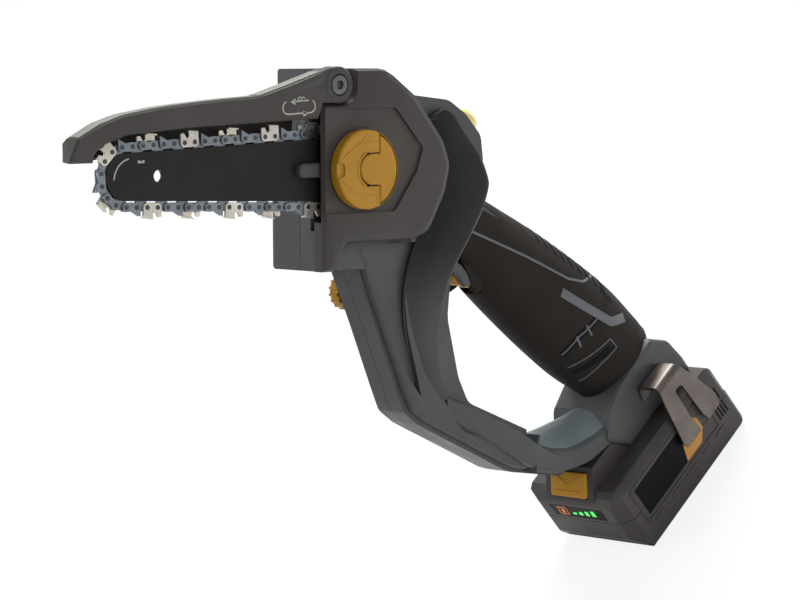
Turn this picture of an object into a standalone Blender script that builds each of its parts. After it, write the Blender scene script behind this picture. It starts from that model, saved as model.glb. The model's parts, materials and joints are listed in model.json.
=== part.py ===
"""Cordless one-hand pruning chainsaw, modelled piece by piece.

The pieces are drawn in the tool's own frame: X runs back along the guide bar (the bar's nose is at -X),
Y runs to the far side, Z is up with the bar level, and the origin is on the knob's axis at the split
plane. One empty carries that frame, tilted so that the saw stands on its battery at Z = 0.
Outlines are written in millimetres and scaled by MM.
"""
import math

import bmesh
import bpy
from mathutils import Matrix, Vector

MM = 0.001
GAP = 0.3
ARC_STEP = math.radians(24)

# Stance: the battery's long axis rises by this much when the bar is level
BATTERY_TILT = math.radians(42)
BATTERY_CORNER = (201.0, -210.0)

# Widths across the tool, measured along Y
HEAD_FAR = 24.5
HEAD_NEAR = -13.5
STRUT_HALF = 14.5
STRUT_LIP = 10.0
COLLAR_NEAR = -18.0
GRIP_CORE_HALF = 15.0
FOOT_HALF = 22.0
TOE_HALF = 20.0
COVER_FACE = -23.5
COVER_WALL = 2.6
PANEL_DEPTH = 1.6

# Guide bar and chain
CHAIN_PITCH = 6.35
CHAIN_LINKS = 70
BAR_Y = -12.0
BAR_THICK = 2.8
GROOVE_WIDTH = 1.6
NOSE_X = -142.0
NOSE_RADIUS = 14.6
SPROCKET_TEETH = 10
SPROCKET_RADIUS = SPROCKET_TEETH * 2 * CHAIN_PITCH / (2 * math.pi)
STRAP_HALF_HEIGHT = 2.4
STRAP_THICK = 1.05
DRIVE_LINK_THICK = 1.0
TANG_DEPTH = 6.0
BAR_TAIL_X = 1.2
BAR_SLOT_HALF = 4.2
BAR_HOLE_X = -121.8
BAR_HOLE_RADIUS = 3.05
STUD_RADIUS = 3.7

# Knob and its fold-out flap
KNOB_RADIUS = 20.2
KNOB_FACE = -28.5
KNOB_BACK = -22.0
KNOB_HUB_RADIUS = 13.0
KNOB_HUB_BACK = -15.4
FLAP_EDGE_X = 8.0
FLAP_TONGUE_HALF = 8.0
FLAP_PIN_X = 3.0
FLAP_PIN_Y = -26.3
FLAP_PIN_RADIUS = 0.9
FLAP_THICK = 4.0
FLAP_PIN_SLACK = 0.25
FLAP_PIN_REACH = 10.8

# Guard
GUARD_PIVOT = (-15.0, 43.0)
GUARD_HUB_RADIUS = 9.3
GUARD_FAR = -0.6
GUARD_WALL = 2.2
GUARD_HUB_BACK = -14.0
PIVOT_SCREW_RADIUS = 3.0
PIVOT_HEAD_RADIUS = 5.2

# Drive train
MOTOR_LEAN = math.radians(-3)
MOTOR_RADIUS = 19.0
MOTOR_NEAR = 3.0
MOTOR_FAR = 20.0
GEAR_NEAR = -5.6
GEAR_FAR = -1.2
PINION_RADIUS = 7.0
SHAFT_RADIUS = 4.0
BEARING_RADIUS = 9.0
GEAR_TEETH_DEPTH = 1.6
MESH_SLACK = 0.25
WHEEL_ROOM = 0.6
BORE_SLACK = 0.15
MOTOR_SHAFT_RADIUS = 2.8
PINION_TEETH = 9
PINION_OVERHANG = 1.4
GEAR_TEETH = 48
GEAR_RADIUS = PINION_RADIUS * GEAR_TEETH / PINION_TEETH

# Controls
BUTTON_CENTRE = (88.0, 20.0)
BUTTON_RADIUS = 7.5
BUTTON_TILT = math.radians(43)
BUTTON_RISE = 8.0
BUTTON_DEPTH = 5.0
BUTTON_TRAVEL = 3.0
OIL_CAP = (24.5, -65.0)
OIL_CAP_RADIUS = 10.0
OIL_CAP_FAR = 22.5
OIL_NECK_RADIUS = 5.9

# Grip, from the collar down to the foot
GRIP_START = (94.0, -40.0)
GRIP_END = (197.0, -109.5)
GRIP_HALF_HEIGHTS = (18.5, 20.5, 24.5, 27.5, 29.0, 29.2, 26.5, 25.5)
GRIP_HALF_WIDTHS = (16.5, 17.5, 20.0, 21.5, 22.0, 22.0, 21.0, 20.5)
SLEEVE_LEAD = 18.0
SLEEVE_TAIL = 6.0
GRIP_SIDES = 20

# Battery, along its own length and height from the lower front corner
CELL_RADIUS = 9.1
CELL_LENGTH = 65.0
CELL_PITCH = 2 * CELL_RADIUS + 0.5
CELLS_PER_ROW = 5
CELL_END_ROOM = 1.1
CELL_ROW_ROOM = 1.3
CELL_BOARD_THICK = 1.6
CELL_BOARD_MARGIN = 5.6
BATTERY_WALL = 2.4
NOSE_WALL = 5.0
LID_TOP = 2.2
BATTERY_NOSE = 9.0
CELL_ROW = CELL_PITCH * (CELLS_PER_ROW - 1) + 2 * (CELL_RADIUS + CELL_ROW_ROOM)
BATTERY_LENGTH = CELL_ROW + BATTERY_WALL + NOSE_WALL - BATTERY_NOSE
CELL_STACK = BATTERY_WALL + GAP + 2 * CELL_RADIUS + CELL_PITCH + GAP
BATTERY_HEIGHT = CELL_STACK + CELL_BOARD_THICK + GAP + LID_TOP
BATTERY_HALF = CELL_LENGTH / 2 + CELL_END_ROOM + BATTERY_WALL
BATTERY_SPLIT = BATTERY_HEIGHT - 20.0
RAIL_RISE = 11.0
NECK_LOW = BATTERY_HEIGHT - 4.0
NECK_RUN = 12.0
CORNER_RUN = 5.5
CORNER_SIDE = 8.0
RELEASE_HALF = 14.0
RELEASE_TRAVEL = 2.0
GAUGE_HALF = 20.1
RAIL_HALF = 18.5

# Belt hook
HOOK_TOP = 67.0
HOOK_DROP = 42.0
HOOK_LUG = 9.5
HOOK_THICK = 1.6
HOOK_CLEAR = 1.9
HOOK_REACH = BATTERY_HALF + HOOK_CLEAR + HOOK_THICK - FOOT_HALF - GAP
HOOK_BEND = 4.2

PARTS = "pruning_chainsaw"
CUTTERS = "chainsaw_cutters"

for thing in list(bpy.data.objects):
    bpy.data.objects.remove(thing, do_unlink=True)


def collection(name):
    made = bpy.data.collections.new(name)
    bpy.context.scene.collection.children.link(made)
    return made


parts = collection(PARTS)
cutters = collection(CUTTERS)


def battery_point(along, height):
    """A point on the tool's XZ plane from its place along and above the battery's lower front corner."""
    c, s = math.cos(BATTERY_TILT), math.sin(BATTERY_TILT)
    return (BATTERY_CORNER[0] + along * c - height * s, BATTERY_CORNER[1] + along * s + height * c)


def make_frame():
    """The empty that stands the tool on the middle of its battery's base."""
    empty = bpy.data.objects.new("tool_frame", None)
    parts.objects.link(empty)
    empty.rotation_euler = (0, BATTERY_TILT, 0)
    x, z = battery_point(BATTERY_LENGTH / 2, 0)
    middle = Vector((x * MM, 0, z * MM))
    empty.location = -(Matrix.Rotation(BATTERY_TILT, 3, "Y") @ middle)
    return empty


frame = make_frame()


def finish(name, rgb, roughness, metallic=0.0):
    """A Principled material with the colour given as the eye sees it."""
    made = bpy.data.materials.new(name)
    made.use_nodes = True
    shader = made.node_tree.nodes["Principled BSDF"]
    linear = [((v / 255 + 0.055) / 1.055) ** 2.4 for v in rgb]
    shader.inputs["Base Color"].default_value = (*linear, 1.0)
    shader.inputs["Roughness"].default_value = roughness
    shader.inputs["Metallic"].default_value = metallic
    return made


CHARCOAL = finish("charcoal_plastic", (72, 70, 68), 0.5)
SLATE = finish("slate_plastic", (82, 87, 90), 0.5)
GOLD = finish("gold_plastic", (172, 132, 50), 0.42)
BLACK_STEEL = finish("blackened_steel", (40, 38, 38), 0.45, 0.6)
STEEL = finish("bright_steel", (150, 152, 155), 0.3, 1.0)
RUBBER = finish("grip_rubber", (50, 47, 44), 0.7)
DARK = finish("dark_plastic", (45, 44, 43), 0.5)
BRASS = finish("gear_brass", (170, 140, 80), 0.35, 1.0)
CELL_WRAP = finish("cell_wrap", (60, 110, 150), 0.5)
BOARD = finish("circuit_board", (30, 80, 50), 0.6)
WINDOW = finish("gauge_window", (12, 12, 12), 0.15)


def corner_arc(before, corner, after, radius):
    """Points that round one corner of an outline by a radius."""
    a = (before - corner).normalized()
    b = (after - corner).normalized()
    turn = math.pi - a.angle(b)
    reach = radius * math.tan(turn / 2)
    reach = min(reach, 0.48 * (before - corner).length, 0.48 * (after - corner).length)
    radius = reach / math.tan(turn / 2)
    middle = corner + (a + b).normalized() * (radius / math.cos(turn / 2))
    start = corner + a * reach - middle
    end = corner + b * reach - middle
    steps = max(1, math.ceil(turn / ARC_STEP))
    points = []
    for k in range(steps + 1):
        share = k / steps
        blend = start * math.sin((1 - share) * turn) + end * math.sin(share * turn)
        points.append(middle + blend / math.sin(turn))
    return points


def rounded(outline):
    """An outline of (x, z) or (x, z, corner radius) as plain points with the corners rounded."""
    corners = [Vector(p[:2]) for p in outline]
    points = []
    for k, spec in enumerate(outline):
        before, corner, after = corners[k - 1], corners[k], corners[(k + 1) % len(corners)]
        radius = spec[2] if len(spec) > 2 else 0
        turn = (corner - before).angle(after - corner)
        if radius > 0 and turn > math.radians(4):
            points += corner_arc(before, corner, after, radius)
        else:
            points.append(corner)
    return points


def circle(centre, radius, sides=24, start=0.0):
    """A round outline in the XZ plane."""
    turns = [start + 2 * math.pi * k / sides for k in range(sides)]
    return [Vector((centre[0] + radius * math.cos(t), centre[1] + radius * math.sin(t))) for t in turns]


def prism(points, near, far, soften_near=0.0, soften_far=0.0, segments=1):
    """A mesh of an XZ outline run along Y, with either end's edge softened."""
    bm = bmesh.new()
    ring = [bm.verts.new((p[0] * MM, near * MM, p[1] * MM)) for p in points]
    face = bm.faces.new(ring)
    moved = bmesh.ops.extrude_face_region(bm, geom=[face])["geom"]
    top = [v for v in moved if isinstance(v, bmesh.types.BMVert)]
    bmesh.ops.translate(bm, verts=top, vec=(0, (far - near) * MM, 0))
    bmesh.ops.recalc_face_normals(bm, faces=bm.faces)
    for level, width in ((near, soften_near), (far, soften_far)):
        if width:
            edges = [e for e in bm.edges if all(abs(v.co.y - level * MM) < 1e-7 for v in e.verts)]
            bmesh.ops.bevel(bm, geom=edges, offset=width * MM, segments=segments, profile=0.5,
                            affect="EDGES", material=-1)
    return bm


def place(name, bm, material=None, pivot=(0, 0, 0), into=parts, turn=None):
    """An object from a mesh drawn in the tool's frame, with its origin on a pivot given in millimetres."""
    origin = Vector(pivot) * MM
    if turn is not None:
        bmesh.ops.transform(bm, matrix=turn, verts=bm.verts)
    bmesh.ops.translate(bm, verts=bm.verts, vec=-origin)
    mesh = bpy.data.meshes.new(name)
    bm.to_mesh(mesh)
    bm.free()
    made = bpy.data.objects.new(name, mesh)
    into.objects.link(made)
    made.parent = frame
    made.location = origin
    if material is not None:
        mesh.materials.append(material)
    mesh.shade_smooth()
    mesh.set_sharp_from_angle(angle=math.radians(30))
    return made


def hidden(name, bm, turn=None):
    """A mesh that only cuts or joins another piece."""
    made = place(name, bm, into=cutters, turn=turn)
    made.hide_render = True
    made.display_type = "WIRE"
    return made


def combine(piece, tool, operation):
    step = piece.modifiers.new(operation.lower(), "BOOLEAN")
    step.object = tool
    step.operation = operation
    step.solver = "EXACT"


def cut(piece, *meshes, turn=None):
    for k, bm in enumerate(meshes):
        combine(piece, hidden(f"{piece.name}_cut_{len(piece.modifiers)}_{k}", bm, turn), "DIFFERENCE")


def join(piece, *meshes, turn=None):
    for k, bm in enumerate(meshes):
        combine(piece, hidden(f"{piece.name}_add_{len(piece.modifiers)}_{k}", bm, turn), "UNION")


def rod(centre, radius, near, far, sides=20, soften=0.0):
    return prism(circle(centre, radius, sides), near, far, soften, soften)


def box(x0, x1, y0, y1, z0, z1):
    return prism([(x0, z0), (x1, z0), (x1, z1), (x0, z1)], y0, y1)


def in_battery_frame(outline):
    """An outline written along and above the battery, turned into the tool's frame."""
    return [(*battery_point(p[0], p[1]), *p[2:]) for p in outline]


def battery_box(along0, along1, y0, y1, height0, height1, radius=0.0, soften=0.0):
    corners = [(along0, height0, radius), (along1, height0, radius), (along1, height1, radius),
               (along0, height1, radius)]
    return prism(rounded(in_battery_frame(corners)), y0, y1, soften, soften)


def sprocket_x():
    """Where the sprocket stands so that the chain's loop is a whole number of links."""
    wanted = CHAIN_LINKS * CHAIN_PITCH
    step = SPROCKET_RADIUS - NOSE_RADIUS
    reach = 150.0
    for _ in range(40):
        lean = math.asin(step / reach)
        loop = 2 * reach * math.cos(lean) + math.pi * (SPROCKET_RADIUS + NOSE_RADIUS) + 2 * lean * step
        reach += (wanted - loop) / 2
    return NOSE_X + reach


SPROCKET_X = sprocket_x()
CHAIN_LEAN = math.asin((SPROCKET_RADIUS - NOSE_RADIUS) / (SPROCKET_X - NOSE_X))
CHAIN_REACH = (SPROCKET_X - NOSE_X) * math.cos(CHAIN_LEAN)


def chain_point(distance):
    """A place on the rivet line and its heading, from the top of the sprocket round by the nose."""
    top = CHAIN_REACH
    nose = (math.pi - 2 * CHAIN_LEAN) * NOSE_RADIUS
    distance %= CHAIN_LINKS * CHAIN_PITCH
    heading = math.pi + CHAIN_LEAN
    normal = Vector((-math.sin(CHAIN_LEAN), math.cos(CHAIN_LEAN)))
    start = Vector((SPROCKET_X, 0)) + normal * SPROCKET_RADIUS
    if distance < top:
        return start + Vector((math.cos(heading), math.sin(heading))) * distance, heading
    distance -= top
    if distance < nose:
        turn = math.pi / 2 + CHAIN_LEAN + distance / NOSE_RADIUS
        spot = Vector((NOSE_X + NOSE_RADIUS * math.cos(turn), NOSE_RADIUS * math.sin(turn)))
        return spot, turn + math.pi / 2
    distance -= nose
    if distance < top:
        heading = -CHAIN_LEAN
        normal = Vector((-math.sin(CHAIN_LEAN), -math.cos(CHAIN_LEAN)))
        start = Vector((NOSE_X, 0)) + normal * NOSE_RADIUS
        return start + Vector((math.cos(heading), math.sin(heading))) * distance, heading
    distance -= top
    turn = -math.pi / 2 - CHAIN_LEAN + distance / SPROCKET_RADIUS
    spot = Vector((SPROCKET_X + SPROCKET_RADIUS * math.cos(turn), SPROCKET_RADIUS * math.sin(turn)))
    return spot, turn + math.pi / 2


def link_outline(index, profile):
    """A link's side outline, laid between its two rivets with the outside of the loop upwards."""
    first, _ = chain_point(index * CHAIN_PITCH)
    second, _ = chain_point((index + 1) * CHAIN_PITCH)
    along = (second - first).normalized()
    outward = Vector((along.y, -along.x))
    middle = (first + second) / 2
    return [middle + along * s + outward * n for s, n in profile]


def several(meshes):
    """One mesh that holds several closed shapes."""
    whole = bmesh.new()
    for bm in meshes:
        loose = bpy.data.meshes.new("loose")
        bm.to_mesh(loose)
        bm.free()
        whole.from_mesh(loose)
        bpy.data.meshes.remove(loose)
    return whole


def saw_chain():
    """The whole loop of chain: drive links, tie straps with bumpers and cutters on alternate sides."""
    half, high = CHAIN_PITCH / 2 + 2.5, STRAP_HALF_HEIGHT
    tie = [(-half, -0.8), (-half + 1.6, -high), (half - 1.6, -high), (half, -0.8), (half + 0.2, 4.6),
           (half - 3.4, high), (-half + 1.0, high)]
    cutter = [(-half, -0.8), (-half + 1.6, -high), (half - 1.6, -high), (half, -0.8), (half, 4.7),
              (half - 2.6, 4.7), (half - 3.6, high), (0.2, high), (0.2, 5.8), (-half, 5.4)]
    drive = [(-half + 0.3, -0.6), (-1.2, -TANG_DEPTH), (1.2, -TANG_DEPTH), (half - 0.3, -0.6),
             (half - 0.3, 1.9), (-half + 0.3, 1.9)]
    plate = [(-half, 4.6), (0.2, 5.0), (0.2, 5.8), (-half, 5.4)]
    inner = DRIVE_LINK_THICK / 2 - 0.06
    outer = inner + STRAP_THICK
    drives, straps, plates = [], [], []
    for index in range(0, CHAIN_LINKS, 2):
        place_in_pattern = (index // 2) % 4
        for side in (-1, 1):
            cuts = place_in_pattern == (0 if side < 0 else 2)
            ends = sorted((side * inner, side * outer))
            shape = link_outline(index, cutter if cuts else tie)
            straps.append(prism(shape, BAR_Y + ends[0], BAR_Y + ends[1]))
            if cuts:
                over = sorted((side * (outer - 0.1), -side * (inner + 0.7)))
                plates.append(prism(link_outline(index, plate), BAR_Y + over[0], BAR_Y + over[1]))
        drives.append(prism(link_outline(index + 1, drive), BAR_Y - DRIVE_LINK_THICK / 2,
                            BAR_Y + DRIVE_LINK_THICK / 2))
    chain = place("saw_chain", several(drives), STEEL)
    join(chain, several(straps), several(plates))


def bar_outline(inset):
    """The bar's edge, set in from the rivet line, with a square tail behind the clamp stud."""
    radius = NOSE_RADIUS - inset
    steps = 14
    span = math.pi - 2 * CHAIN_LEAN
    turns = [math.pi / 2 + CHAIN_LEAN + span * k / steps for k in range(steps + 1)]
    points = [(NOSE_X + radius * math.cos(t), radius * math.sin(t)) for t in turns]
    tail = BAR_TAIL_X + 10
    half = radius / math.cos(CHAIN_LEAN) + (tail - NOSE_X) * math.tan(CHAIN_LEAN)
    return points + [(tail - 5, -half), (tail, 5 - half), (tail, half - 5), (tail - 5, half)]


def guide_bar():
    sag = CHAIN_PITCH ** 2 / (8 * NOSE_RADIUS)
    rail = STRAP_HALF_HEIGHT + sag + GAP
    floor = TANG_DEPTH + sag + GAP
    near, far = BAR_Y - BAR_THICK / 2, BAR_Y + BAR_THICK / 2
    bar = place("guide_bar", prism(bar_outline(floor), near + 0.2, far - 0.2), BLACK_STEEL)
    skin = (BAR_THICK - GROOVE_WIDTH) / 2
    join(bar, prism(bar_outline(rail), near, near + skin), prism(bar_outline(rail), far - skin, far))
    slot = rounded([(-12, -BAR_SLOT_HALF, 4), (7, -BAR_SLOT_HALF, 4), (7, BAR_SLOT_HALF, 4),
                    (-12, BAR_SLOT_HALF, 4)])
    cut(bar, prism(slot, near - 1, far + 1), rod((BAR_HOLE_X, 0), BAR_HOLE_RADIUS, near - 1, far + 1, 16))


# Outlines of the housing, in the tool's XZ plane
HEAD = [(-22, -51.5), (72, -51.5, 6), (86, -26, 8), (91.5, -10, 6), (92, 3, 6), (90.5, 15, 6), (80, 26.5, 8),
        (68, 34, 10), (38, 37.5, 6), (20, 51, 16), (-18, 51), (-18, 30), (-22, 26)]
STRUT = [(1, -40), (10.5, -62, 20), (18.5, -80, 30), (33.5, -116.5, 30), (38.5, -128, 6), (48, -135, 8),
         (112, -165, 20), (150, -170.5), (172, -160), (180, -146), (172, -138.5, 6), (152, -144, 10),
         (130, -145, 10), (84, -126, 8), (77, -112, 12), (69.5, -80, 12), (72, -58, 8), (88, -30), (60, -30)]
STRUT_FACE = [(5, -40), (13, -62, 20), (21, -80, 30), (36, -115.5, 30), (42, -127.5, 6), (52, -134, 8),
              (113, -163, 20), (150, -168), (154, -156), (128, -153, 9), (78, -140, 9), (65, -124, 12),
              (56.5, -95, 14), (56.5, -78, 12), (63, -62, 8), (76, -42), (60, -34)]
COLLAR = [(40, 20), (60, 29, 4), (67, 27, 5), (86, 5, 12), (92.5, -11, 8), (86, -26.5, 12), (66, -54.5, 12),
          (62, -66, 6), (40, -60)]
TOE = [(124, -152), (126, -145.6), (131, -145.4, 8), (152, -144.5, 10), (172, -139.1, 6), (182, -135.2),
       (188, -140), (188, -146), (181, -153, 6), (163, -163, 14), (138, -168, 14), (124, -165.5)]
FOOT_LOW = BATTERY_HEIGHT + GAP
FOOT_RISES = [(30.4, 0), (19, 14.7, 3), (27, 25.7, 4), (46, 31.2, 6), (79.5, 33.7, 4), (89, 22.7, 4),
              (91, 8.7, 4), (91, 0)]
FOOT = in_battery_frame([(p[0], FOOT_LOW + p[1], *p[2:]) for p in FOOT_RISES])
COVER = [(-24, 33.2), (-10, 33.2, 6), (-3, 36.5, 6), (-2.5, 51), (19, 51, 16), (38, 37.5, 8),
         (57, 14, 12), (62, 1, 10), (58, -14, 10), (46, -35, 12), (34, -37.5, 8), (-9, -37.5, 3),
         (-17, -51.5), (-24, -51.5)]
PANEL = [(-30, 31), (23, 31, 3), (41.5, 10, 3), (37, -2, 3), (22, -22, 3), (-30, -22)]
CHAIN_ROOM = [(-40, 30), (2, 31, 4), (14, 34, 8), (38, 31, 10), (54, 12, 12), (55, -6, 12), (40, -31, 10),
              (12, -32, 8), (-4, -26.5, 4), (-40, -26.5)]


def offset(points, width):
    """Each point of an anticlockwise outline moved outwards by a width."""
    moved = []
    for k, spot in enumerate(points):
        a = (Vector(spot) - Vector(points[k - 1])).normalized()
        b = (Vector(points[(k + 1) % len(points)]) - Vector(spot)).normalized()
        lean = (a + b).normalized()
        moved.append(Vector(spot) + Vector((lean.y, -lean.x)) * width / max(0.5, lean.dot(a)))
    return moved


def signed_area(points):
    return sum(points[k - 1][0] * p[1] - p[0] * points[k - 1][1] for k, p in enumerate(points)) / 2


def grown(outline, width):
    """A rounded outline grown by a width all round."""
    points = rounded(outline)
    if signed_area(points) < 0:
        points.reverse()
    return offset(points, width)


GRIP_AXIS = (Vector(GRIP_END) - Vector(GRIP_START)).normalized()
GRIP_UP = Vector((-GRIP_AXIS.y, GRIP_AXIS.x))
GRIP_LENGTH = (Vector(GRIP_END) - Vector(GRIP_START)).length


def grip_point(along, up):
    spot = Vector(GRIP_START) + GRIP_AXIS * along + GRIP_UP * up
    return (spot.x, spot.y)


GRIP_CORE = [grip_point(-14, -9), grip_point(GRIP_LENGTH + 8, -16), grip_point(GRIP_LENGTH + 8, 17),
             grip_point(-14, 13)]
TRIGGER_ROOM = [grip_point(-9, -30), grip_point(17, -30), grip_point(17, 1.5), grip_point(-9, 1.5)]
SWITCH_ROOM = [grip_point(17.5, -6), grip_point(60, -6), grip_point(60, 9), grip_point(17.5, 9)]
BOARD_ROOM = [grip_point(64, -11), grip_point(112, -11), grip_point(112, 11), grip_point(64, 11)]
SHAFT_X = SPROCKET_X
GEAR_REACH = GEAR_RADIUS + PINION_RADIUS
MOTOR_CENTRE = (SHAFT_X + GEAR_REACH * math.cos(MOTOR_LEAN), GEAR_REACH * math.sin(MOTOR_LEAN))


def button_turn():
    """Rotation that leans the lock-off button square to the sloping back of the head."""
    x, z = BUTTON_CENTRE
    spot = Matrix.Translation((x * MM, 0, z * MM))
    return spot @ Matrix.Rotation(BUTTON_TILT, 4, "Y")


def upright_rod(radius, low, high, sides=20, soften=0.0):
    """A rod that stands along Z through the frame's origin."""
    bm = prism(circle((0, 0), radius, sides), -high, -low, soften)
    bmesh.ops.rotate(bm, verts=bm.verts, matrix=Matrix.Rotation(-math.pi / 2, 3, "X"))
    return bm


def housing(name, side):
    """One half of the clamshell: the head, the hand guard's strut and arm, the grip core and the foot."""
    seam = side * GAP / 2
    head_end = HEAD_FAR if side > 0 else HEAD_NEAR

    def layer(points, end, soften=0.0, segments=1, past_seam=4.0):
        """An outline run from past the split plane out to one side."""
        start = -side * past_seam
        if side > 0:
            return prism(points, start, end, 0, soften, segments)
        return prism(points, end, start, soften, 0, segments)

    half = place(name, layer(rounded(HEAD), head_end, 4.0 if side > 0 else 0.0, 2, 4.0), SLATE)
    join(half, layer(rounded(STRUT), side * STRUT_LIP, 0, 1, 4.5))
    join(half, layer(rounded(STRUT_FACE), side * STRUT_HALF, 3.0, 2, 5.0))
    join(half, layer(rounded(COLLAR), side * abs(COLLAR_NEAR), 2.0, 1, 5.5))
    join(half, layer(GRIP_CORE, side * GRIP_CORE_HALF, 0, 1, 6.0))
    join(half, layer(rounded(TOE), side * TOE_HALF, 0, 1, 6.2))
    join(half, layer(rounded(FOOT), side * FOOT_HALF, 2.5, 2, 6.5))
    away = sorted((seam, -side * 20))
    cut(half, box(-300, 400, *away, -400, 200))
    if side < 0:
        cut(half, prism(grown(COVER, GAP), -40, HEAD_NEAR))
        cut(half, prism(rounded(CHAIN_ROOM), -40, -9.0))
    motor, gear = MOTOR_CENTRE, (SHAFT_X, 0)
    gear_room = GEAR_RADIUS + GEAR_TEETH_DEPTH + WHEEL_ROOM
    cut(half, layer(circle(gear, gear_room, 36), -6.2 if side < 0 else 1.6))
    if side > 0:
        cut(half, rod(motor, MOTOR_RADIUS + GAP, -1, MOTOR_FAR + GAP, 32))
        cut(half, rod(gear, BEARING_RADIUS + GAP, -1, 9.3, 24))
    else:
        cut(half, rod(gear, BEARING_RADIUS + GAP, -10, 1, 24))
        cut(half, rod(motor, PINION_RADIUS + GEAR_TEETH_DEPTH + WHEEL_ROOM, -6.0, 1, 24))
        cut(half, rod(GUARD_PIVOT, PIVOT_SCREW_RADIUS + GAP, -30, -3.0, 16))
        cut(half, rod((0, 0), STUD_RADIUS + GAP, -30, -5.0, 20))
    cut(half, layer(TRIGGER_ROOM, side * 8.0))
    cut(half, layer(SWITCH_ROOM, side * 9.0), layer(BOARD_ROOM, side * 10.0))
    cut(half, upright_rod(BUTTON_RADIUS + GAP, -BUTTON_DEPTH - BUTTON_TRAVEL - GAP, 20), turn=button_turn())
    ceiling = BATTERY_HEIGHT + RAIL_RISE + GAP
    rail = in_battery_frame([(-40, 40), (140, 40), (140, ceiling), (-40, ceiling)])
    cut(half, layer(rail, side * (RAIL_HALF + GAP)))
    if side > 0:
        cut(half, rod(OIL_CAP, OIL_NECK_RADIUS + 0.4, 6.0, 40, 20))
    return half


def sprocket_cover():
    """The cover over the sprocket: a rimmed face, a panel set into it and a pocket for the chain behind."""
    cover = place("sprocket_cover", prism(rounded(COVER), COVER_FACE, HEAD_NEAR - GAP, 4.2, 0, 2), CHARCOAL)
    cut(cover, prism(rounded(PANEL), COVER_FACE - 5, COVER_FACE + PANEL_DEPTH))
    cut(cover, prism(rounded(CHAIN_ROOM), COVER_FACE + PANEL_DEPTH + COVER_WALL, 0))
    cut(cover, rod((0, 0), KNOB_RADIUS + 1.2, COVER_FACE - 5, KNOB_BACK + GAP, 32))
    cut(cover, rod((0, 0), KNOB_HUB_RADIUS + GAP, COVER_FACE - 5, 0, 28))
    return cover


def flap_outline(slack):
    """The flap seen from the front: the knob's outer segment with a round tongue towards its middle."""
    radius = KNOB_RADIUS - 1.2 + slack * 2
    edge = FLAP_EDGE_X - 2 * slack
    half = FLAP_TONGUE_HALF + slack
    lift = math.acos(edge / radius)
    steps = 12
    rim = [-lift + 2 * lift * k / steps for k in range(steps + 1)]
    points = [(radius * math.cos(t), radius * math.sin(t)) for t in rim]
    tongue = [math.pi / 2 + math.pi * k / 8 for k in range(9)]
    return points + [(edge, half)] + [(FLAP_PIN_X + half * math.cos(t), half * math.sin(t)) for t in tongue] \
        + [(edge, -half)]


def tension_knob():
    """The gold knob that clamps and tensions the bar, with the pocket that its flap folds into."""
    knob = place("tension_knob", rod((0, 0), KNOB_RADIUS, KNOB_FACE, KNOB_BACK, 40, 0.8), GOLD)
    join(knob, rod((0, 0), KNOB_HUB_RADIUS, KNOB_BACK - 2, KNOB_HUB_BACK, 28))
    floor = KNOB_FACE + FLAP_THICK + GAP
    cut(knob, prism(flap_outline(0.4), KNOB_FACE - 2, floor))
    swing = FLAP_TONGUE_HALF + 0.6
    well = rounded([(FLAP_PIN_X - swing, -swing, 4), (FLAP_PIN_X + 4.4, -swing), (FLAP_PIN_X + 4.4, swing),
                    (FLAP_PIN_X - swing, swing, 4)])
    cut(knob, prism(well, KNOB_FACE - 2, FLAP_PIN_Y + swing))
    pin = upright_rod(FLAP_PIN_RADIUS + FLAP_PIN_SLACK, -11.2, 11.2, 10)
    cut(knob, pin, turn=Matrix.Translation((FLAP_PIN_X * MM, FLAP_PIN_Y * MM, 0)))
    cut(knob, rod((0, 0), STUD_RADIUS + GAP, KNOB_HUB_BACK - 1.6, 0, 16))
    grip_hollow = rounded([(-30, -6, 2), (-15.5, -3.2, 2), (-15.5, 3.2, 2), (-30, 6, 2)])
    cut(knob, prism(grip_hollow, KNOB_FACE - 2, KNOB_FACE + 1.2))


def knob_flap():
    pivot = (FLAP_PIN_X, FLAP_PIN_Y, 0)
    flap = place("knob_flap", prism(flap_outline(0), KNOB_FACE, KNOB_FACE + FLAP_THICK, 0.5), GOLD, pivot)
    bore = upright_rod(FLAP_PIN_RADIUS + FLAP_PIN_SLACK, -14, 14, 10)
    cut(flap, bore, turn=Matrix.Translation((FLAP_PIN_X * MM, FLAP_PIN_Y * MM, 0)))
    pin = upright_rod(FLAP_PIN_RADIUS, -FLAP_PIN_REACH, FLAP_PIN_REACH, 10)
    place("flap_pin", pin, STEEL, turn=Matrix.Translation((FLAP_PIN_X * MM, FLAP_PIN_Y * MM, 0)))


GUARD_TOP = [(-177, 19.6, 3), (-164, 26.2, 16), (-151, 30.3, 30), (-127, 33.9, 60), (-93, 36.8, 90),
             (-66.5, 38.2, 10), (-42, 45.2, 20), (-25, 50.3, 6)]
GUARD_LOW = [(-28, 26.3), (-60, 25.2), (-110, 23.4), (-148, 20.6, 12), (-162, 16, 6), (-167, 12, 3),
             (-168, 7.7)]
GUARD_TIP = (-182.5, 7.7)
GUARD_TIP_FAR = -170.0
# The guard's top is level from the near face to its ridge, and falls from there to the far side
GUARD_RIDGE = -14.0
GUARD_FALL = 0.48
GUARD_ROOF = [(-167.8, 17.5, 3), (-163, 21.5, 10), (-151, 25.7, 30), (-127, 29.3, 60), (-93, 32.2, 90),
              (-62, 33.8), (-50, 36.2), (-20, 36.2)]
GUARD_FAR_ROOF = [(-167.8, 13), (-163, 17.4), (-151, 21.6), (-127, 25.2), (-93, 28.1), (-66, 29.5), (-50, 33),
                  (-20, 36.2)]
GUARD_ROOF_STEP = -9.0
GUARD_BACK_TOP = [(-160, 17), (-147, 23), (-110, 25.6), (-60, 27.4), (-28, 30)]
GUARD_BACK_LOW = [(-30, 12), (-110, 10.5), (-146, 9, 6), (-160, 7.7)]


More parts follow.
